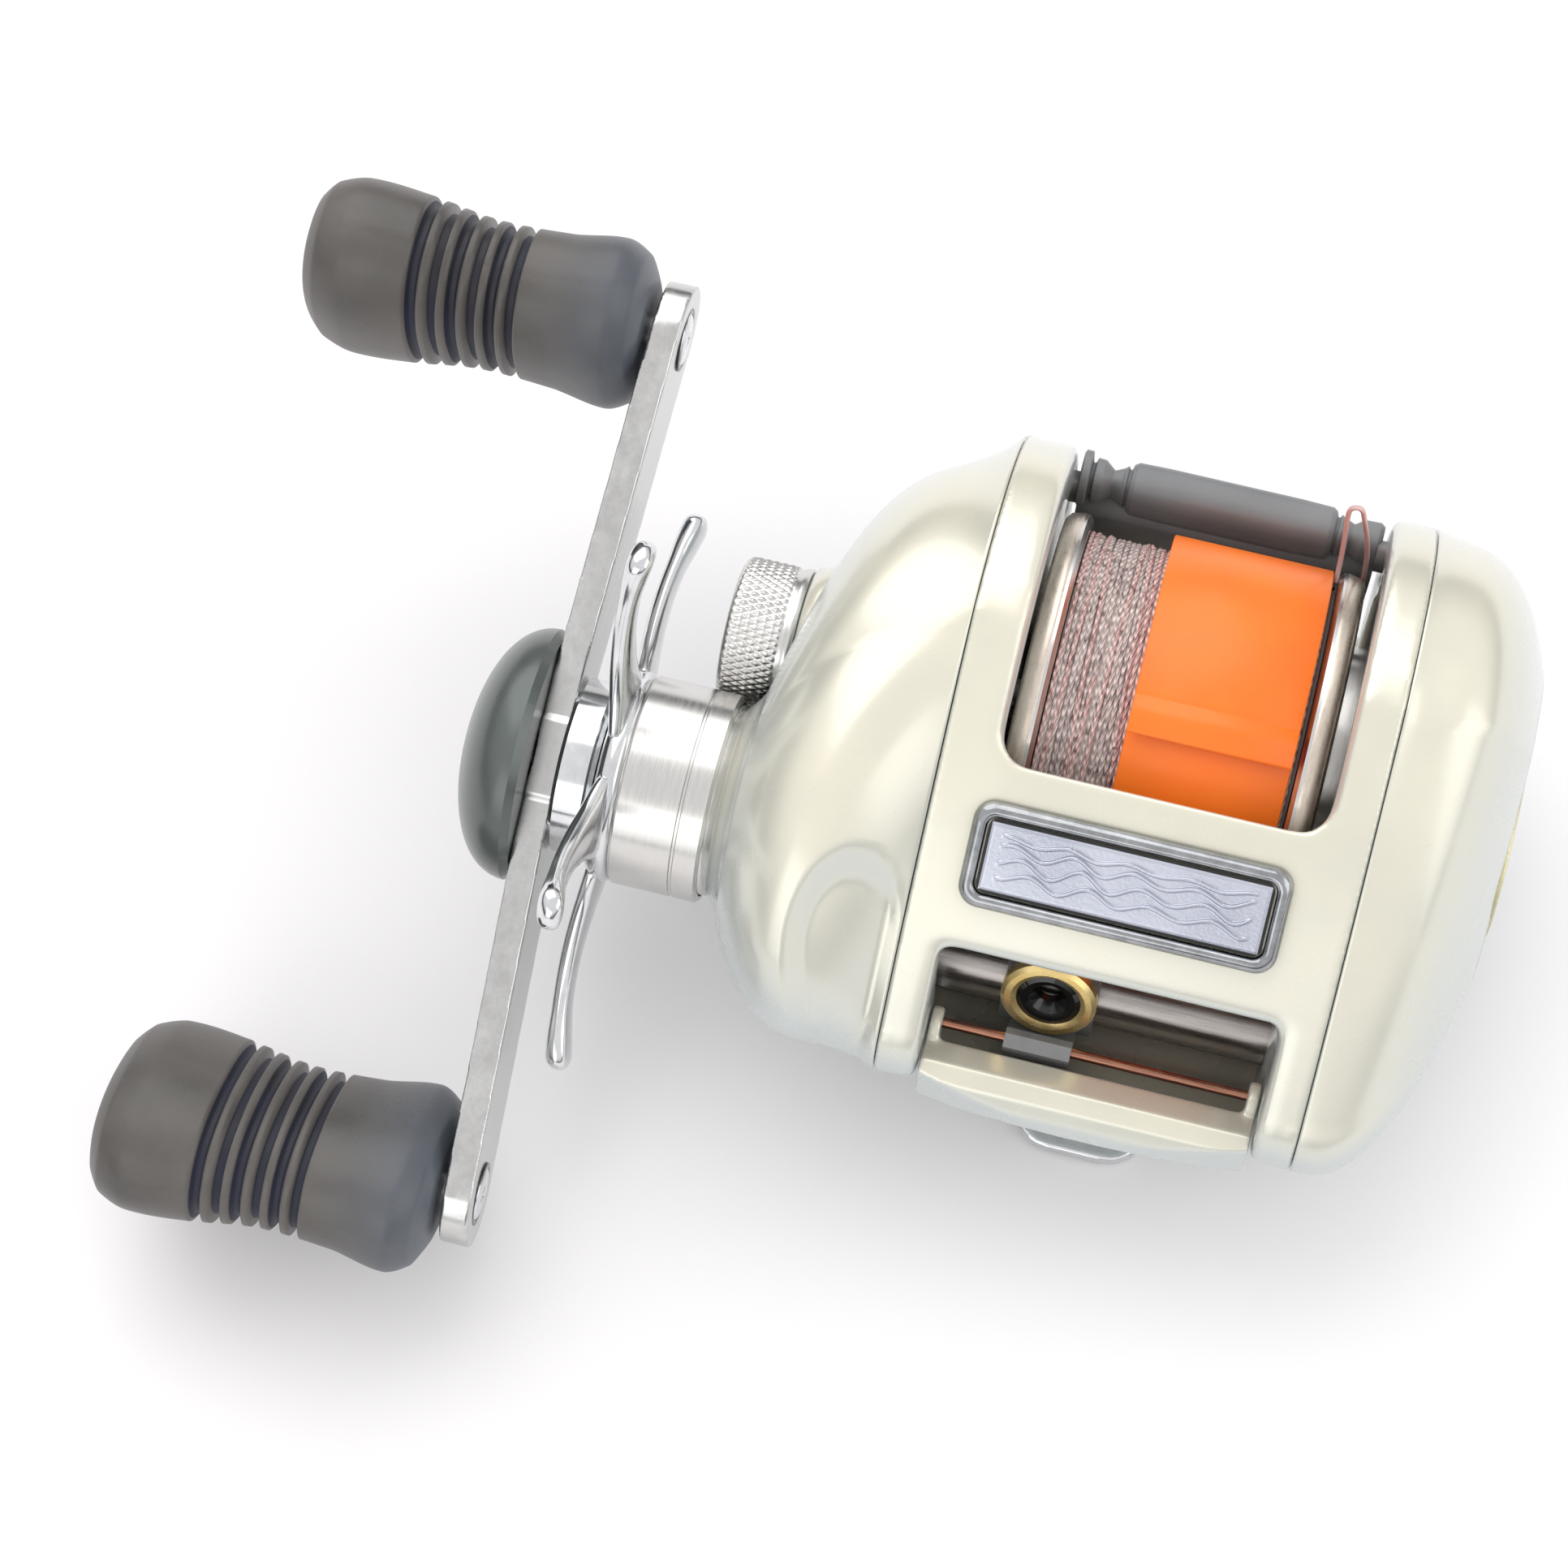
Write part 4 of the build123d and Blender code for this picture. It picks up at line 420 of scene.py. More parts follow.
inner.inputs["From Min"].default_value = -0.058
inner.inputs["From Max"].default_value = -0.049
tree.links.new(shifted.outputs[0], inner.inputs["Value"])
bloom = tree.nodes.new("ShaderNodeMix")
bloom.data_type = "RGBA"
bloom.inputs["B"].default_value = (0.080, 0.092, 0.112, 1)
tree.links.new(inner.outputs[0], bloom.inputs["Factor"])
tree.links.new(shader.inputs["Base Color"].links[0].from_socket, bloom.inputs["A"])
tree.links.new(bloom.outputs["Result"], shader.inputs["Base Color"])
# A near-black rubber for the faces deep in the grooves: painted shade in the grooves.
finish("groove_painted_shade", (0.02, 0.022, 0.05), (0.012, 0.012, 0.02), (0.5, 0.7), 0.0, "orange_peel", 2200,
       0.2)

# %% Braid
weave, enter, leave = new_group("line_weave", [("Turns", "Float", 1.0)],
                                [("Fibre", "Float"), ("Fleck", "Float")])
strand_map = weave.nodes.new("ShaderNodeTexCoord").outputs["UV"]
twill = weave.nodes.new("ShaderNodeTexWave")
twill.bands_direction = "DIAGONAL"
twill.inputs["Scale"].default_value = 0.6
weave.links.new(strand_map, twill.inputs["Vector"])
fleck = weave.nodes.new("ShaderNodeTexNoise")
fleck.inputs["Scale"].default_value = 0.9
fleck.inputs["Detail"].default_value = 4
weave.links.new(strand_map, fleck.inputs["Vector"])
fibre = math_node(weave, "MULTIPLY", twill.outputs["Fac"], enter.outputs["Turns"])
weave.links.new(fibre, leave.inputs["Fibre"])
weave.links.new(fleck.outputs["Fac"], leave.inputs["Fleck"])


def braid_finish(name, dark, middle, light):
    """Woven line in three tints."""
    braid = bpy.data.materials.new(name)
    braid.use_nodes = True
    tree = braid.node_tree
    shader = tree.nodes["Principled BSDF"]
    woven = tree.nodes.new("ShaderNodeGroup")
    woven.node_tree = bpy.data.node_groups["line_weave"]
    woven.inputs["Turns"].default_value = 1.0
    tints = tree.nodes.new("ShaderNodeValToRGB")
    tints.color_ramp.elements[0].position, tints.color_ramp.elements[0].color = 0.34, (*dark, 1)
    tints.color_ramp.elements[1].position, tints.color_ramp.elements[1].color = 0.60, (*light, 1)
    tints.color_ramp.elements.new(0.44).color = (*middle, 1)
    tree.links.new(woven.outputs["Fleck"], tints.inputs["Fac"])
    relief = tree.nodes.new("ShaderNodeBump")
    relief.inputs["Distance"].default_value = 0.0001
    relief.inputs["Strength"].default_value = 0.8
    tree.links.new(woven.outputs["Fibre"], relief.inputs["Height"])
    shade = tree.nodes.new("ShaderNodeMix")
    shade.data_type = "RGBA"
    shade.blend_type = "MULTIPLY"
    shade.inputs["Factor"].default_value = 0.55
    tree.links.new(tints.outputs["Color"], shade.inputs["A"])
    tree.links.new(woven.outputs["Fibre"], shade.inputs["B"])
    tree.links.new(shade.outputs["Result"], shader.inputs["Base Color"])
    tree.links.new(relief.outputs[0], shader.inputs["Normal"])
    shader.inputs["Roughness"].default_value = 0.5
    FINISH[name] = braid


braid_finish("braid", (0.20, 0.145, 0.135), (0.58, 0.46, 0.43), (0.84, 0.71, 0.67))
braid_finish("pink_braid", (0.30, 0.15, 0.14), (0.78, 0.48, 0.45), (0.92, 0.68, 0.64))
line_end.data.materials.append(FINISH["pink_braid"])

# %% [markdown]
# ## Finishes on the solids that stay
# The record names a material slot for each solid.  Turned, stamped and machined pieces already have
# their true shape, so they only need their finish.

# %% Assign the finishes
SPECIAL = {"handle_arm": "brushed_arm", "worm_tube": "tube_steel"}
for entry in frame["record"]["subparts"]:
    solid = frame["nodes"][entry["node"]]
    name = SPECIAL.get(entry["node"], entry["material_slot"])
    solid.data.materials.clear()
    solid.data.materials.append(FINISH[name])
print("solids finished", len(frame["nodes"]))

# %% [markdown]
# ## Castings
# A die-cast frame has no sharp corner anywhere.  A voxel remesh followed by a few smoothing passes
# eases every edge by the same small amount, which a bevel cannot do on such curved walls.  The
# middle of the frame takes more passes; the faces that meet the covers are left out of those.

# %% Castings with eased edges
EASED = [("frame_casting", "frame", "pearl_paint", "pearl_paint", 0.30, 4, 64),
         ("nose_guard", "frame", "pearl_paint", "pearl_paint", 0.22, 16, 0),
         ("reel_foot", "frame", "chrome", "chrome", 0.25, 4, 0),
         ("handle_arm", "handle", "satin_aluminium", "brushed_arm", 0.17, 7, 0)]
for node, body, slot, name, voxel, passes, inner_passes in EASED:
    soft_copy(node, body, voxel, passes, inner_passes).data.materials.append(FINISH[name])

# %% [markdown]
# ## Side covers
# Each cover flows from the frame's side outline to a small oval.  Four outlines are blended with a
# smooth cubic, so the surface has no creases of its own.  The handle side runs on into the round
# neck that carries the drag, and is hollowed where the cast control knob stands.

# %% Side outline
def arc_through(a, m, b, count):
    """Points on the circle through three (y, z) points, without the last one."""
    ax, ay, bx, by, cx, cy = *a, *m, *b
    d = 2 * (ax * (by - cy) + bx * (cy - ay) + cx * (ay - by))
    aa, bb, cc = ax * ax + ay * ay, bx * bx + by * by, cx * cx + cy * cy
    ux = (aa * (by - cy) + bb * (cy - ay) + cc * (ay - by)) / d
    uy = (aa * (cx - bx) + bb * (ax - cx) + cc * (bx - ax)) / d
    radius = hypot(ax - ux, ay - uy)
    start, via, end = (atan2(p[1] - uy, p[0] - ux) for p in (a, m, b))
    sweep = (end - start) % (2 * pi)
    if (via - start) % (2 * pi) > sweep:
        sweep -= 2 * pi
    return [(ux + radius * cos(start + sweep * k / count), uy + radius * sin(start + sweep * k / count))
            for k in range(count)]


def side_outline(front=-38.5, rear=24.5, low=-24.5, high=24.5, full=0.0):
    """The side outline about the spool axis; full 0 is the lean nose, 1 an oval."""
    def place(dy, dz):
        return (front + (dy + 39.6) * (rear - front) / 64.1, low + (dz + 24.5) * (high - low) / 49.0)

    def between(lean, oval):
        return place(*[a + (b - a) * full for a, b in zip(lean, oval)])

    crown, sole = place(24.5 * cos(radians(100)), 24.5 * sin(radians(100))), place(0, -24.5)
    brow, chin = between((-37.2, 0.2), (-36.5, 10.4)), between((-37.4, -9.4), (-36.5, -10.4))
    return (arc_through(crown, between((-19, 15.4), (-22.5, 21.6)), brow, 44)
            + arc_through(brow, between((-39.6, -4.2), (-39.6, 0.0)), chin, 16)
            + arc_through(chin, between((-22, -19.8), (-21.0, -21.9)), sole, 44)
            + arc_through(sole, place(24.5, 0), crown, 88))


def blend_outlines(stations, x):
    """The outline at x, on the polynomial through the (x, outline) stations."""
    result = []
    weights = []
    for i, (xi, _) in enumerate(stations):
        weight = 1.0
        for j, (xj, _) in enumerate(stations):
            if i != j:
                weight *= (x - xj) / (xi - xj)
        weights.append(weight)
    for k in range(len(stations[0][1])):
        result.append(tuple(sum(w * outline[k][axis] for w, (_, outline) in zip(weights, stations))
                            for axis in (0, 1)))
    return result


# %% Handle side cover
stations = [(-20.0, side_outline()), (-26.5, side_outline(-38.2, 19.6, -22.4, 21.8, 0.7)),
            (-33.0, side_outline(-36.4, 11.6, -18.6, 17.8, 1.0)),
            (-37.6, side_outline(-29.8, -4.6, -12.6, 11.8, 1.0))]
COVER_FACE, NECK_X, NECK_RADIUS = 20.06, 37.6, 9.05
ROOM_RADIUS, ROOM_FLOOR = 8.6, -36.2
BOWL_X, BOWL_Y, BOWL_LONG, BOWL_WIDE, BOWL_DEPTH = -23.8, -32.8, 6.4, 7.8, 1.7
rings = []
drive_y, drive_z = DRIVE[0] - SPOOL[0], DRIVE[1] - SPOOL[1]
for k in range(61):
    x = -COVER_FACE - (NECK_X - COVER_FACE) * k / 60
    rings.append([(x, y, z) for y, z in blend_outlines(stations, x)])
for k in range(1, 15):
    share = k / 14
    x = -NECK_X - 2.0 * share
    ring = []
    for y, z in blend_outlines(stations, -NECK_X):
        angle = atan2(z - drive_z, y - drive_y)
        goal = (drive_y + NECK_RADIUS * cos(angle), drive_z + NECK_RADIUS * sin(angle))
        ease = share ** 0.55
        ring.append((x, y + (goal[0] - y) * ease, z + (goal[1] - z) * ease))
    rings.append(ring)
rings.append([(-41.6, y, z) for _, y, z in rings[-1]])
shell = []
for ring in rings:
    row = []
    for x, y, z in ring:
        reach = hypot(y, z)
        floor = ROOM_FLOOR - max(0.0, reach - ROOM_RADIUS) * 2.4
        # the shallow bowl low at the front, with a crisp rim
        bowl = 1 - hypot((x - BOWL_X) / BOWL_LONG, (y - BOWL_Y) / BOWL_WIDE)
        rim = max(0.0, min(1.0, bowl * 3.2))
        upper = min(1.0, max(0.0, (z + 10) / 8))
        outer = min(1.0, (-COVER_FACE - x) / 1.6)
        dip = BOWL_DEPTH * rim * upper * outer
        row.append((max(x, floor), SPOOL[0] + y + 0.5 * dip, SPOOL[1] + z - dip))
    shell.append(row)
inside = [[(-COVER_FACE, SPOOL[0] + y * 0.93 - 0.5, SPOOL[1] + z * 0.93) for _, y, z in rings[0]]]
verts, faces = skin(inside + shell, caps=False)
handle_cover = add_mesh("handle_cover", verts, faces, "pearl_paint")
handle_cover.data.materials.append(FINISH["pearl_paint"])
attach(handle_cover, "frame")
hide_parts("handle_side_cover")
NECK = [(-36.9, 5.3), (-36.9, 7.0), (-36.6, 7.5), (-35.4, 7.9), (-33.8, 8.0), (-33.8, 5.3)]
neck = add_mesh("cast_neck", *turned(SPOOL, NECK), "pearl_paint")
neck.data.materials.append(FINISH["pearl_paint"])
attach(neck, "frame")
SLEEVE = [(-41.95, 8.2), (-41.95, 9.0), (-41.7, 9.3), (-39.2, 9.3), (-39.2, 8.2)]
sleeve = add_mesh("drag_sleeve", *turned(DRIVE, SLEEVE), "satin_aluminium")
sleeve.data.materials.append(FINISH["satin_aluminium"])
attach(sleeve, "frame")
print("handle cover rings", len(shell))

# %% Palm side cover
stations = [(20.0, side_outline()), (25.5, side_outline(-36.4, 23.4, -23.2, 23.2)),
            (30.0, side_outline(-27.5, 19.6, -19.2, 19.4)), (32.8, side_outline(-17.0, 13.6, -12.4, 12.6))]
PALM_X = 32.8
rings = [[(COVER_FACE, y * 0.93 - 0.5, z * 0.93) for y, z in stations[0][1]]]
for k in range(49):
    x = COVER_FACE + (PALM_X - COVER_FACE) * k / 48
    rings.append([(x, y, z) for y, z in blend_outlines(stations, x)])
for share in (0.97, 0.90, 0.80, 0.65, 0.45, 0.2):
    rings.append([(PALM_X, -1.6 + (y + 1.6) * share, 0.4 + (z - 0.4) * share)
                  for _, y, z in rings[49]])
rings = [[(x, SPOOL[0] + y, SPOOL[1] + z) for x, y, z in ring] for ring in rings]
palm_cover = add_mesh("palm_cover", *skin(rings, caps=False), "pearl_paint")
palm_cover.data.materials.append(FINISH["pearl_paint"])
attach(palm_cover, "frame")
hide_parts("palm_side_cover")
print("palm cover rings", len(rings))

# %% [markdown]
# ## Paddle knobs
# A paddle knob is a rounded oval that is fullest at its outer end, waisted in the middle and cut by
# a band of grooves.  Sections of a superellipse are drawn along the pin, each scaled by a smooth
# profile; the grooves are steep dips in that profile.

# %% Knobs
KNOB_X0, KNOB_LENGTH = -90.8, 33.6
HALF_LONG, HALF_SHORT = 11.4, 7.5
PROFILE = [(0.0, 0.05), (0.004, 0.45), (0.02, 0.72), (0.06, 0.90), (0.14, 1.0), (0.30, 0.97), (0.52, 0.86),
           (0.74, 0.89), (0.90, 0.98), (0.965, 0.86), (0.995, 0.62), (1.0, 0.3)]
GROOVES, GROOVE_FROM, GROOVE_TO, GROOVE_DEPTH = 6, 0.35, 0.63, 0.9


def groove_depth(share):
    """How deep the surface dips at a share of the knob's length."""
    pitch = (GROOVE_TO - GROOVE_FROM) / (GROOVES - 1)
    nearest = round((share - GROOVE_FROM) / pitch)
    if not 0 <= nearest < GROOVES:
        return 0.0
    off = abs(share - GROOVE_FROM - nearest * pitch) * KNOB_LENGTH
    return GROOVE_DEPTH * max(0.0, min(1.0, (0.56 - off) / 0.16))


def knob(name, pin, turn_deg):
    """One knob with its grooves, moulding seam and riding body."""
    spin, shares = radians(turn_deg), sorted({0, 0.002, 0.005, 0.01, 0.99, 0.996, 0.9985} |
                                             {k / 170 for k in range(171)})
    rings = []
    for share in shares:
        size, dip = smooth_steps(PROFILE, share), groove_depth(share)
        ring = []
        for s in range(112):
            angle = 2 * pi * s / 112
            c, d = cos(angle), sin(angle)
            seam = 0.10 * max(0.0, 1 - abs(d) * 28) * (0.12 < share < 0.97)
            along = (abs(c) ** 0.87) * (1 if c > 0 else -1) * (HALF_LONG * size - dip + seam)
            across = (abs(d) ** 0.87) * (1 if d > 0 else -1) * (HALF_SHORT * size - dip)
            ring.append((KNOB_X0 + KNOB_LENGTH * share, pin[0] + along * cos(spin) - across * sin(spin),
                         pin[1] + along * sin(spin) + across * cos(spin)))
        rings.append(ring)
    verts, faces = skin(rings)
    piece = add_mesh(name + "_rubber", verts, faces, "knob_rubber")
    piece.data.materials.append(FINISH["knob_rubber"])
    piece.data.materials.append(FINISH["groove_painted_shade"])
    # Faces deep in a groove take the darker material: painted shade in the grooves.
    for polygon in piece.data.polygons:
        share = (polygon.center.x / MM - KNOB_X0) / KNOB_LENGTH
        polygon.material_index = int(groove_depth(share) > 0.6 * GROOVE_DEPTH)
    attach(piece, name)
    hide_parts(name)
    print(name, len(faces), "faces")


knob("front_knob", PINS["front"], 143.0)
knob("rear_knob", PINS["rear"], 98.0)

# %% [markdown]
# ## Cast control knob
# Its rim is knurled: two sets of opposite spiral grooves leave rows of small diamonds.  The height
# of the surface is the lower of the two grooves, so the diamonds are real facets and not a bump.

# %% Knurled knob
STEPS, KNURLS = 480, 60
rings = []
for k in range(47):
    x = -43.25 + 4.9 * k / 46
    ring = []
    for s in range(STEPS):
        angle = 2 * pi * s / STEPS
        lean = 0.62 * (x + 43.25)
        crest = min(abs(((angle * KNURLS / (2 * pi) + side * lean) % 1) - 0.5) for side in (-1, 1))
        edge = min(1.0, (x + 43.25) / 0.25, (-38.35 - x) / 0.25)
        radius = 7.02 + 0.46 * max(0.0, edge) * crest
        ring.append((x, SPOOL[0] + radius * cos(angle), SPOOL[1] + radius * sin(angle)))
    rings.append(ring)


def plain_ring(x, radius):
    return [(x, SPOOL[0] + radius * cos(2 * pi * s / STEPS), SPOOL[1] + radius * sin(2 * pi * s / STEPS))
            for s in range(STEPS)]


front_face = [plain_ring(x, r) for x, r in ((-43.2, 4.6), (-43.62, 5.2), (-43.65, 6.5), (-43.5, 6.85))]
back_face = [plain_ring(x, r) for x, r in ((-38.1, 7.0), (-37.7, 7.2), (-37.1, 7.3), (-36.95, 7.0))]
cast_knob = add_mesh("cast_knob", *skin(front_face + rings + back_face), "satin_aluminium")
cast_knob.data.materials.append(FINISH["satin_aluminium"])
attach(cast_knob, "cast_control")
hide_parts("cast_control_knob")
print("knurls", KNURLS)

# %% [markdown]
# ## Star drag
# The star is forged and polished: a hub ring with five long arms that swing out, thin at the waist
# and thick at the rounded tip.  Each arm is drawn through oval sections along a bowed path.

# %% Star
hub = [(-51.3, 6.2), (-51.5, 7.6), (-51.2, 9.4), (-50.4, 10.3), (-49.4, 10.3), (-48.87, 9.9), (-48.87, 6.2)]
verts, faces = turned(DRIVE, hub, 120)
ARM = [(0.0, 4.6, 1.0), (0.2, 3.0, 1.0), (0.45, 2.0, 0.95), (0.7, 1.85, 0.95), (0.88, 2.1, 1.2),
       (0.95, 1.95, 1.2), (0.985, 1.25, 0.85), (1.0, 0.3, 0.25)]
for arm in range(5):
    angle = radians(68 + 72 * arm)
    rings = []
    for k in range(34):
        share = 1 - (1 - k / 33) ** 1.3
        radius = 8.8 + (29.5 - 8.8) * share
        half_wide = smooth_steps([(p, w) for p, w, _ in ARM], share)
        half_thick = smooth_steps([(p, t) for p, _, t in ARM], share)
        bow = -50.3 - 0.9 * sin(pi * share) + 0.2 * share ** 3
        ring = []
        for s in range(20):
            turn_s = 2 * pi * s / 20
            side = half_wide * (abs(cos(turn_s)) ** 0.8) * (1 if cos(turn_s) > 0 else -1)
            thick = half_thick * (abs(sin(turn_s)) ** 0.7) * (1 if sin(turn_s) > 0 else -1)
            ring.append((bow + thick, DRIVE[0] + radius * cos(angle) - side * sin(angle),
                         DRIVE[1] + radius * sin(angle) + side * cos(angle)))
        rings.append(ring)
    more_verts, more_faces = skin(rings)
    faces += [tuple(i + len(verts) for i in face) for face in more_faces]
    verts += more_verts
star = add_mesh("star", verts, faces, "chrome")
star.data.materials.append(FINISH["chrome"])
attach(star, "star")
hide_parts("star_drag")
print("star faces", len(faces))

# %% [markdown]
# ## Pin heads
# Each knob pin is riveted through the arm.  Its domed head shows on the side nearest the body, inside a near-black
# ring, so a bright turned head and a dark turned ring are set into the arm.

# %% Pin heads
PIN_FACE = -53.85
HEAD = [(-0.35, 0.3), (-0.35, 2.55), (0.05, 2.55), (0.22, 2.2), (0.28, 1.2), (0.28, 0.3)]
RING = [(-0.3, 2.5), (-0.3, 3.1), (0.06, 3.1), (0.06, 2.5)]
for side, pin in PINS.items():
    for kind, outline, name in (("head", HEAD, "chrome"), ("ring", RING, "black_ceramic")):
        shape = turned(pin, [(PIN_FACE + x, r) for x, r in outline], 72)
        piece = add_mesh(side + "_pin_" + kind, *shape, name)
        piece.data.materials.append(FINISH[name])
        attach(piece, "handle")
print("pin heads", sorted(PINS))

# %% [markdown]
# ## Thumb bar
# The bar is moulded plastic: a soft pad with a seam about it, a saddle at each side of the pad and a
# thin upright plate at the handle side.  One rounded section is drawn along the bar and grows or
# shrinks from place to place; an apron below it closes the gap to the spool.

# %% Thumb bar
BAR_CENTRE, BAR_HALF_Y, BAR_HALF_Z = (SPOOL[0] + 21.75, SPOOL[1] + 5.2), 1.75, 2.6
SWELL = [(-14.4, 0.30), (-14.25, 0.55), (-13.55, 0.55), (-13.4, -0.45), (-13.15, -0.45), (-13.0, 0.05),
         (-12.2, 0.0), (-11.2, -0.75), (-10.3, -0.35), (-9.95, -0.05), (-9.8, -0.35), (-9.6, -0.35),
         (-9.45, 0.15), (-9.0, 0.42), (-6.0, 0.5), (7.0, 0.5), (10.1, 0.42), (10.55, 0.15),
         (10.7, -0.35), (10.9, -0.35), (11.05, -0.05), (11.5, -0.3), (12.4, -0.65), (13.3, -0.05),
         (14.9, 0.0), (15.3, -0.3)]
rings = []
for k in range(397):
    x = -14.4 + 29.7 * k / 396
    j = max(i for i, (place, _) in enumerate(SWELL[:-1]) if place <= x + 1e-9)
    (x0, v0), (x1, v1) = SWELL[j], SWELL[j + 1]
    swell = v0 + (v1 - v0) * min(1.0, (x - x0) / (x1 - x0))
    ring = []
    for s in range(56):
        c, d = cos(2 * pi * s / 56), sin(2 * pi * s / 56)
        ring.append((x, BAR_CENTRE[0] + (BAR_HALF_Y + swell) * abs(c) ** 0.72 * (1 if c > 0 else -1),
                     BAR_CENTRE[1] + (BAR_HALF_Z + swell) * abs(d) ** 0.72 * (1 if d > 0 else -1)))
    rings.append(ring)
verts, faces = skin(rings)
APRON = [(19.25, 3.0), (19.2, 2.4), (19.2, -4.2), (19.45, -4.4), (19.8, -4.2), (20.3, 2.2),
         (21.4, 3.6), (21.2, 4.4), (19.8, 3.6)]
TAB = [(20.0, 3.0), (21.2, 3.0), (21.2, 7.4), (20.0, 7.4)]
for outline, x0, x1 in ((APRON, -14.2, 15.1), (TAB, -21.2, -14.0), (TAB, 15.0, 17.1)):
    more_verts, more_faces = skin([[(x, SPOOL[0] + y, SPOOL[1] + z) for y, z in outline] for x in (x0, x1)])
    faces += [tuple(i + len(verts) for i in face) for face in more_faces]
    verts += more_verts
thumb_pad = add_mesh("thumb_pad", verts, faces, "dark_plastic")
thumb_pad.data.materials.append(FINISH["dark_plastic"])
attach(thumb_pad, "thumb_bar")
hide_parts("thumb_bar")
print("thumb bar faces", len(faces))

# %% [markdown]
# ## Line on the spool
# The line is laid in a close helix, with a few strands that cross where the guide turned back.
# Every turn is a real tube, over a plain core that closes the gaps.

# %% Wound line
def tube(points, radius, sides=7):
    """Rings of points of a tube along a list of points, each with its run along the tube in millimetres."""
    rings, run = [], 0.0
    for k, point in enumerate(points):
        here = Vector(point)
        ahead = Vector(points[min(k + 1, len(points) - 1)]) - Vector(points[max(k - 1, 0)])
        ahead.normalize()
        out = Vector((0, here.y - SPOOL[0], here.z - SPOOL[1])).normalized()
        side = ahead.cross(out).normalized()
        out = side.cross(ahead)
        if k:
            run += (here - Vector(points[k - 1])).length
        rings.append(([here + radius * (out * cos(2 * pi * s / sides) + side * sin(2 * pi * s / sides))
                       for s in range(sides)], run))
    return rings


def wander(value, seed):
    """A slow, uneven swing between about -1 and 1, always the same for the same seed."""
    return (sin(value * 1.7 + seed) * 0.5 + sin(value * 4.3 + seed * 2.1) * 0.3
            + sin(value * 9.1 + seed * 0.7) * 0.2)


strands = []
turns, points = 47, []
for k in range(turns * 72):
    angle = 2 * pi * k / 72
    x = -11.7 + 23.4 * k / (turns * 72) + 0.10 * wander(angle * 0.35, 2)
    radius = 16.52 + 0.06 * wander(angle * 0.21, 5)
    points.append((x, SPOOL[0] + radius * cos(angle), SPOOL[1] + radius * sin(angle)))
strands.append(points)
for cross in range(14):
    points = []
    start = -11.0 + 1.5 * cross
    for k in range(100):
        angle = 0.9 * cross + 2 * pi * 1.2 * k / 99
        x = start + (4.6 if cross % 2 else -3.2) * (k / 99) + 0.15 * wander(angle, cross)
        x = max(-11.7, min(11.7, x))
        points.append((x, SPOOL[0] + 16.74 * cos(angle), SPOOL[1] + 16.74 * sin(angle)))
    strands.append(points)
verts, faces, lengths = [], [], []
for points in strands:
    rings = tube(points, 0.27 if points is strands[0] else 0.20)
    base, sides = len(verts), len(rings[0][0])
    for ring, run in rings:
        verts += [tuple(v) for v in ring]
        lengths += [(run, s / sides) for s in range(sides)]
    _, tube_faces = skin([ring for ring, _ in rings], caps=False)
    faces += [tuple(base + i for i in face) for face in tube_faces]
core_verts, core_faces = turned(SPOOL, [(-11.9, 9.6), (11.9, 9.6), (11.9, 16.5), (-11.9, 16.5)], 96)
faces += [tuple(i + len(verts) for i in face) for face in core_faces]
verts += core_verts
lengths += [(v[0], 0.0) for v in core_verts]
winding = add_mesh("winding", verts, faces, "braid")
uv = winding.data.uv_layers.new(name="strand")
for loop in winding.data.loops:
    uv.data[loop.index].uv = lengths[loop.vertex_index]
winding.data.materials.append(FINISH["braid"])
winding.data.materials.append(FINISH["pink_braid"])
first_strand = (len(strands[0]) - 1) * 7
for polygon in winding.data.polygons:
    crossing = first_strand <= polygon.index < len(faces) - len(core_faces)
    worn_turn = polygon.index < first_strand and (polygon.index // 7 // 504) % 3 == 2
    polygon.material_index = int(crossing or worn_turn)
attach(winding, "spool")
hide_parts("wound_line")
print("winding faces", len(faces))

# %% [markdown]
# ## Spool clip
# The clip is one strip of springy plastic, bent round the line and folded back on itself; its free
# end curls out into a lip for a fingernail.  The strip's centre line is traced about the spool axis
# and given thickness and rounded edges.

# %% Clip
CLIP_X0, CLIP_X1 = -4.1, 11.4
path = [(17.36, radians(320 - (320 - 29) * k / 150)) for k in range(151)]
for k in range(1, 10):
    fold = radians(-90 + 180 * k / 10)
    path.append((17.72 + 0.36 * sin(fold), radians(29 - 1.2 * cos(fold))))
path += [(18.08, radians(29 + (106 - 29) * k / 60)) for k in range(61)]
path += [(18.08 + 0.62 * min(1.0, k / 5) ** 0.8, radians(106.6 + 10.9 * k / 14)) for k in range(15)]
line = [Vector((SPOOL[0] + r * cos(a), SPOOL[1] + r * sin(a))) for r, a in path]
rings = []
for k, spot in enumerate(line):
    ahead = (line[min(k + 1, len(line) - 1)] - line[max(k - 1, 0)]).normalized()
    side = Vector((-ahead.y, ahead.x)) * 0.29
    ring = []
    for x0, s in ((CLIP_X0, 1), (CLIP_X1, 1), (CLIP_X1, -1), (CLIP_X0, -1)):
        inward = 1 if x0 == CLIP_X0 else -1
        corner = [(x0, 0.6), (x0 + inward * 0.12, 1.0)]
        if (x0 == CLIP_X1) == (s == 1):
            corner.reverse()
        ring += [(x, spot.x + side.x * s * t, spot.y + side.y * s * t) for x, t in corner]
    rings.append(ring)
clip = add_mesh("clip", *skin(rings), "orange_plastic")
clip.data.materials.append(FINISH["orange_plastic"])
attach(clip, "spool")
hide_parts("spool_clip")
print("clip sections", len(rings))

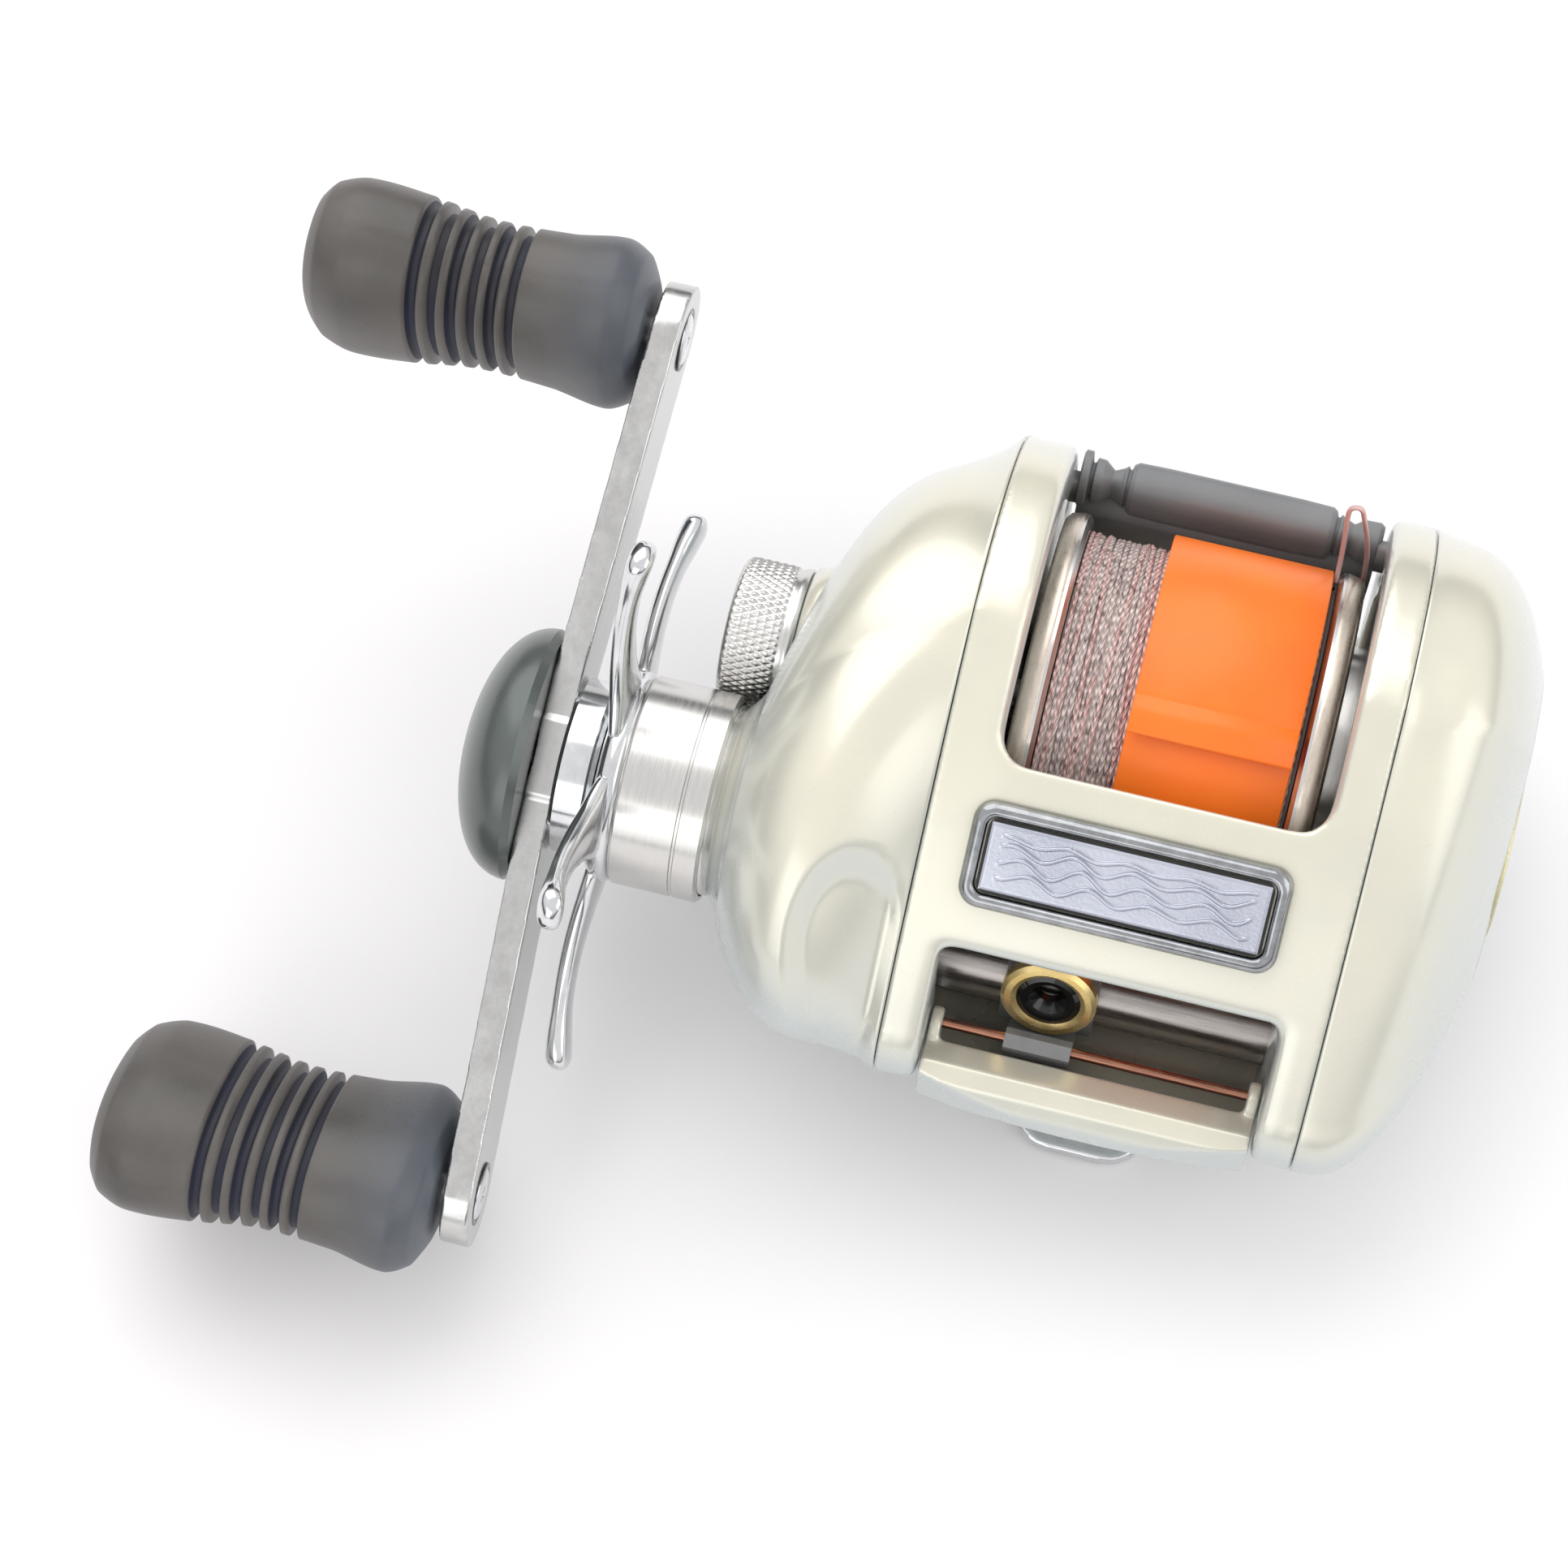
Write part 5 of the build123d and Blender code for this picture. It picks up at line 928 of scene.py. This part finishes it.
# %% [markdown]
# ## Badge
# A small plate in a chrome rim.  It carries a relief of waves, raised from the plate itself.

# %% Badge rim
BADGE = Vector((-0.85, SPOOL[0] - 22.1, SPOOL[1] + 12.9))
badge_up, badge_out = Vector((0, 0.82, 0.573)), Vector((0, -0.573, 0.82))


def rounded_ring(half_long, half_wide, corner, height):
    """A rounded rectangle on the badge's plane, as one ring of points."""
    ring = []
    for sign_u, sign_v, start in ((1, 1, 0), (-1, 1, 90), (-1, -1, 180), (1, -1, 270)):
        for k in range(9):
            angle = radians(start + 90 * k / 8)
            u = sign_u * (half_long - corner) + corner * cos(angle)
            v = sign_v * (half_wide - corner) + corner * sin(angle)
            ring.append(tuple(BADGE + Vector((u, 0, 0)) + badge_up * v + badge_out * height))
    return ring


RIM = [(0.55, 0.30), (0.50, 0.62), (0.25, 0.95), (0.0, 1.14), (-0.35, 1.2), (-0.62, 1.10),
       (-0.80, 0.80), (-0.85, 0.4)]
rings = [rounded_ring(14.35 + grow, 4.5 + grow, 1.6 + grow * 0.7, height) for grow, height in RIM]
rim = add_mesh("badge_surround", *skin(rings, caps=False), "chrome")
rim.data.materials.append(FINISH["badge_chrome"])
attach(rim, "frame")
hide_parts("badge_rim")
# The plate under the relief is near-black, so the narrow gap round the relief shows as a dark line: painted shade
# in the recess.
frame["nodes"]["badge_plate"].data.materials[0] = FINISH["black_ceramic"]
print("rim rings", len(rings))

# %% Badge relief
COLUMNS, ROWS, HALF_X, HALF_Y = 300, 90, 13.05, 3.22
WAVES = [(-1.55, 0.45, 1.1), (-0.25, 0.55, 1.1), (1.05, 0.45, 1.1), (2.0, 0.25, 1.1)]
rings = []
for row in range(ROWS + 1):
    ring = []
    for column in range(COLUMNS + 1):
        u, v = -HALF_X + 2 * HALF_X * column / COLUMNS, -HALF_Y + 2 * HALF_Y * row / ROWS
        crest = 0.0
        for offset, swing, speed in WAVES:
            swell = offset + swing * sin(u * speed + offset * 0.8) * (1 - 0.3 * sin(u * 0.35))
            crest = max(crest, 1 - abs(v - swell) / 0.22)
        edge = min((HALF_X - abs(u)) / 0.25, (HALF_Y - abs(v)) / 0.25)
        fade = max(0.0, min(1.0, (HALF_X - 1.1 - abs(u)) / 0.8))
        height = 0.70 + 0.12 * min(1.0, edge) + 0.30 * max(0.0, min(1.0, crest * 2.2)) * fade
        ring.append(tuple(BADGE + Vector((u, 0, 0)) + badge_up * v + badge_out * height))
    rings.append(ring)
verts = [point for ring in rings for point in ring]
width = COLUMNS + 1
faces = [(r * width + c, r * width + c + 1, (r + 1) * width + c + 1, (r + 1) * width + c)
         for r in range(ROWS) for c in range(COLUMNS)]
plate = add_mesh("badge_relief", verts, faces, "badge_panel")
plate.data.materials.append(FINISH["badge_panel"])
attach(plate, "frame")
print("badge faces", len(faces))

# %% [markdown]
# ## Spool lips
# The spool's edge is a wide satin lip with a narrow polished bevel beside the line.  A lathe
# outline gives both; the faces near the line take the polished finish.

# %% Spool lips
for side, name in ((-1, "lip_handle_side"), (1, "lip_palm_side")):
    outline = [(12.02, 16.2), (12.02, 17.5), (12.45, 18.35), (13.0, 18.45), (14.1, 18.2), (14.55, 17.7),
               (14.6, 16.9), (14.2, 16.2)]
    lip = add_mesh(name, *turned(SPOOL, [(side * x, r) for x, r in outline], 144), "satin_aluminium")
    lip.data.materials.append(FINISH["champagne"])
    lip.data.materials.append(FINISH["chrome"])
    for polygon in lip.data.polygons:
        polygon.material_index = int(abs(polygon.center.x) < 12.5 * MM)
    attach(lip, "spool")
print("lips done")

# %% [markdown]
# ## Table and light
# One star arm reaches lower than the foot, so the table is tilted until it meets both.  Large soft
# lamps and a sky that darkens toward the ground give bright, even light.

# %% Stage
floor_mesh = bpy.data.meshes.new("table")
TABLE_SLOPE, TABLE_EDGE = 0.061, 0.0066
corners = [(x, y, TABLE_SLOPE * (x - TABLE_EDGE) - 0.0001) for x, y in ((-2, -2), (2, -2), (2, 2), (-2, 2))]
floor_mesh.from_pydata(corners, [], [(0, 1, 2, 3)])
table = bpy.data.objects.new("table", floor_mesh)
bpy.context.collection.objects.link(table)
cloth = bpy.data.materials.new("table_top")
cloth.use_nodes = True
cloth_shader = cloth.node_tree.nodes["Principled BSDF"]
cloth_shader.inputs["Base Color"].default_value = (0.86, 0.85, 0.855, 1)
cloth_shader.inputs["Roughness"].default_value = 0.7
table.data.materials.append(cloth)

world = bpy.data.worlds.new("studio")
bpy.context.scene.world = world
world.use_nodes = True
sky = world.node_tree
direction = sky.nodes.new("ShaderNodeSeparateXYZ")
sky.links.new(sky.nodes.new("ShaderNodeTexCoord").outputs["Generated"], direction.inputs[0])
height = sky.nodes.new("ShaderNodeValToRGB")
height.color_ramp.elements[0].position, height.color_ramp.elements[0].color = 0.05, (0.10, 0.11, 0.11, 1)
height.color_ramp.elements[1].position, height.color_ramp.elements[1].color = 0.42, (1.0, 0.99, 1.0, 1)
sky.links.new(direction.outputs["Z"], height.inputs["Fac"])
sky.links.new(height.outputs["Color"], sky.nodes["Background"].inputs[0])
sky.nodes["Background"].inputs[1].default_value = 0.98
bpy.context.scene.view_settings.view_transform = "Standard"
LAMPS = [("key", (-0.30, 0.40, 0.60), 0.85, 3.2), ("side", (0.60, -0.05, 0.40), 0.60, 1.2),
         ("front", (-0.20, -0.55, 0.25), 0.45, 0.8)]
for name, spot, size, power in LAMPS:
    lamp = bpy.data.lights.new(name, "AREA")
    lamp.size, lamp.energy = size, power
    holder = bpy.data.objects.new(name, lamp)
    bpy.context.collection.objects.link(holder)
    holder.location = spot
    holder.rotation_euler = (Vector((0, 0, 0.02)) - Vector(spot)).to_track_quat("-Z", "Y").to_euler()
print("lamps", len(bpy.data.lights))
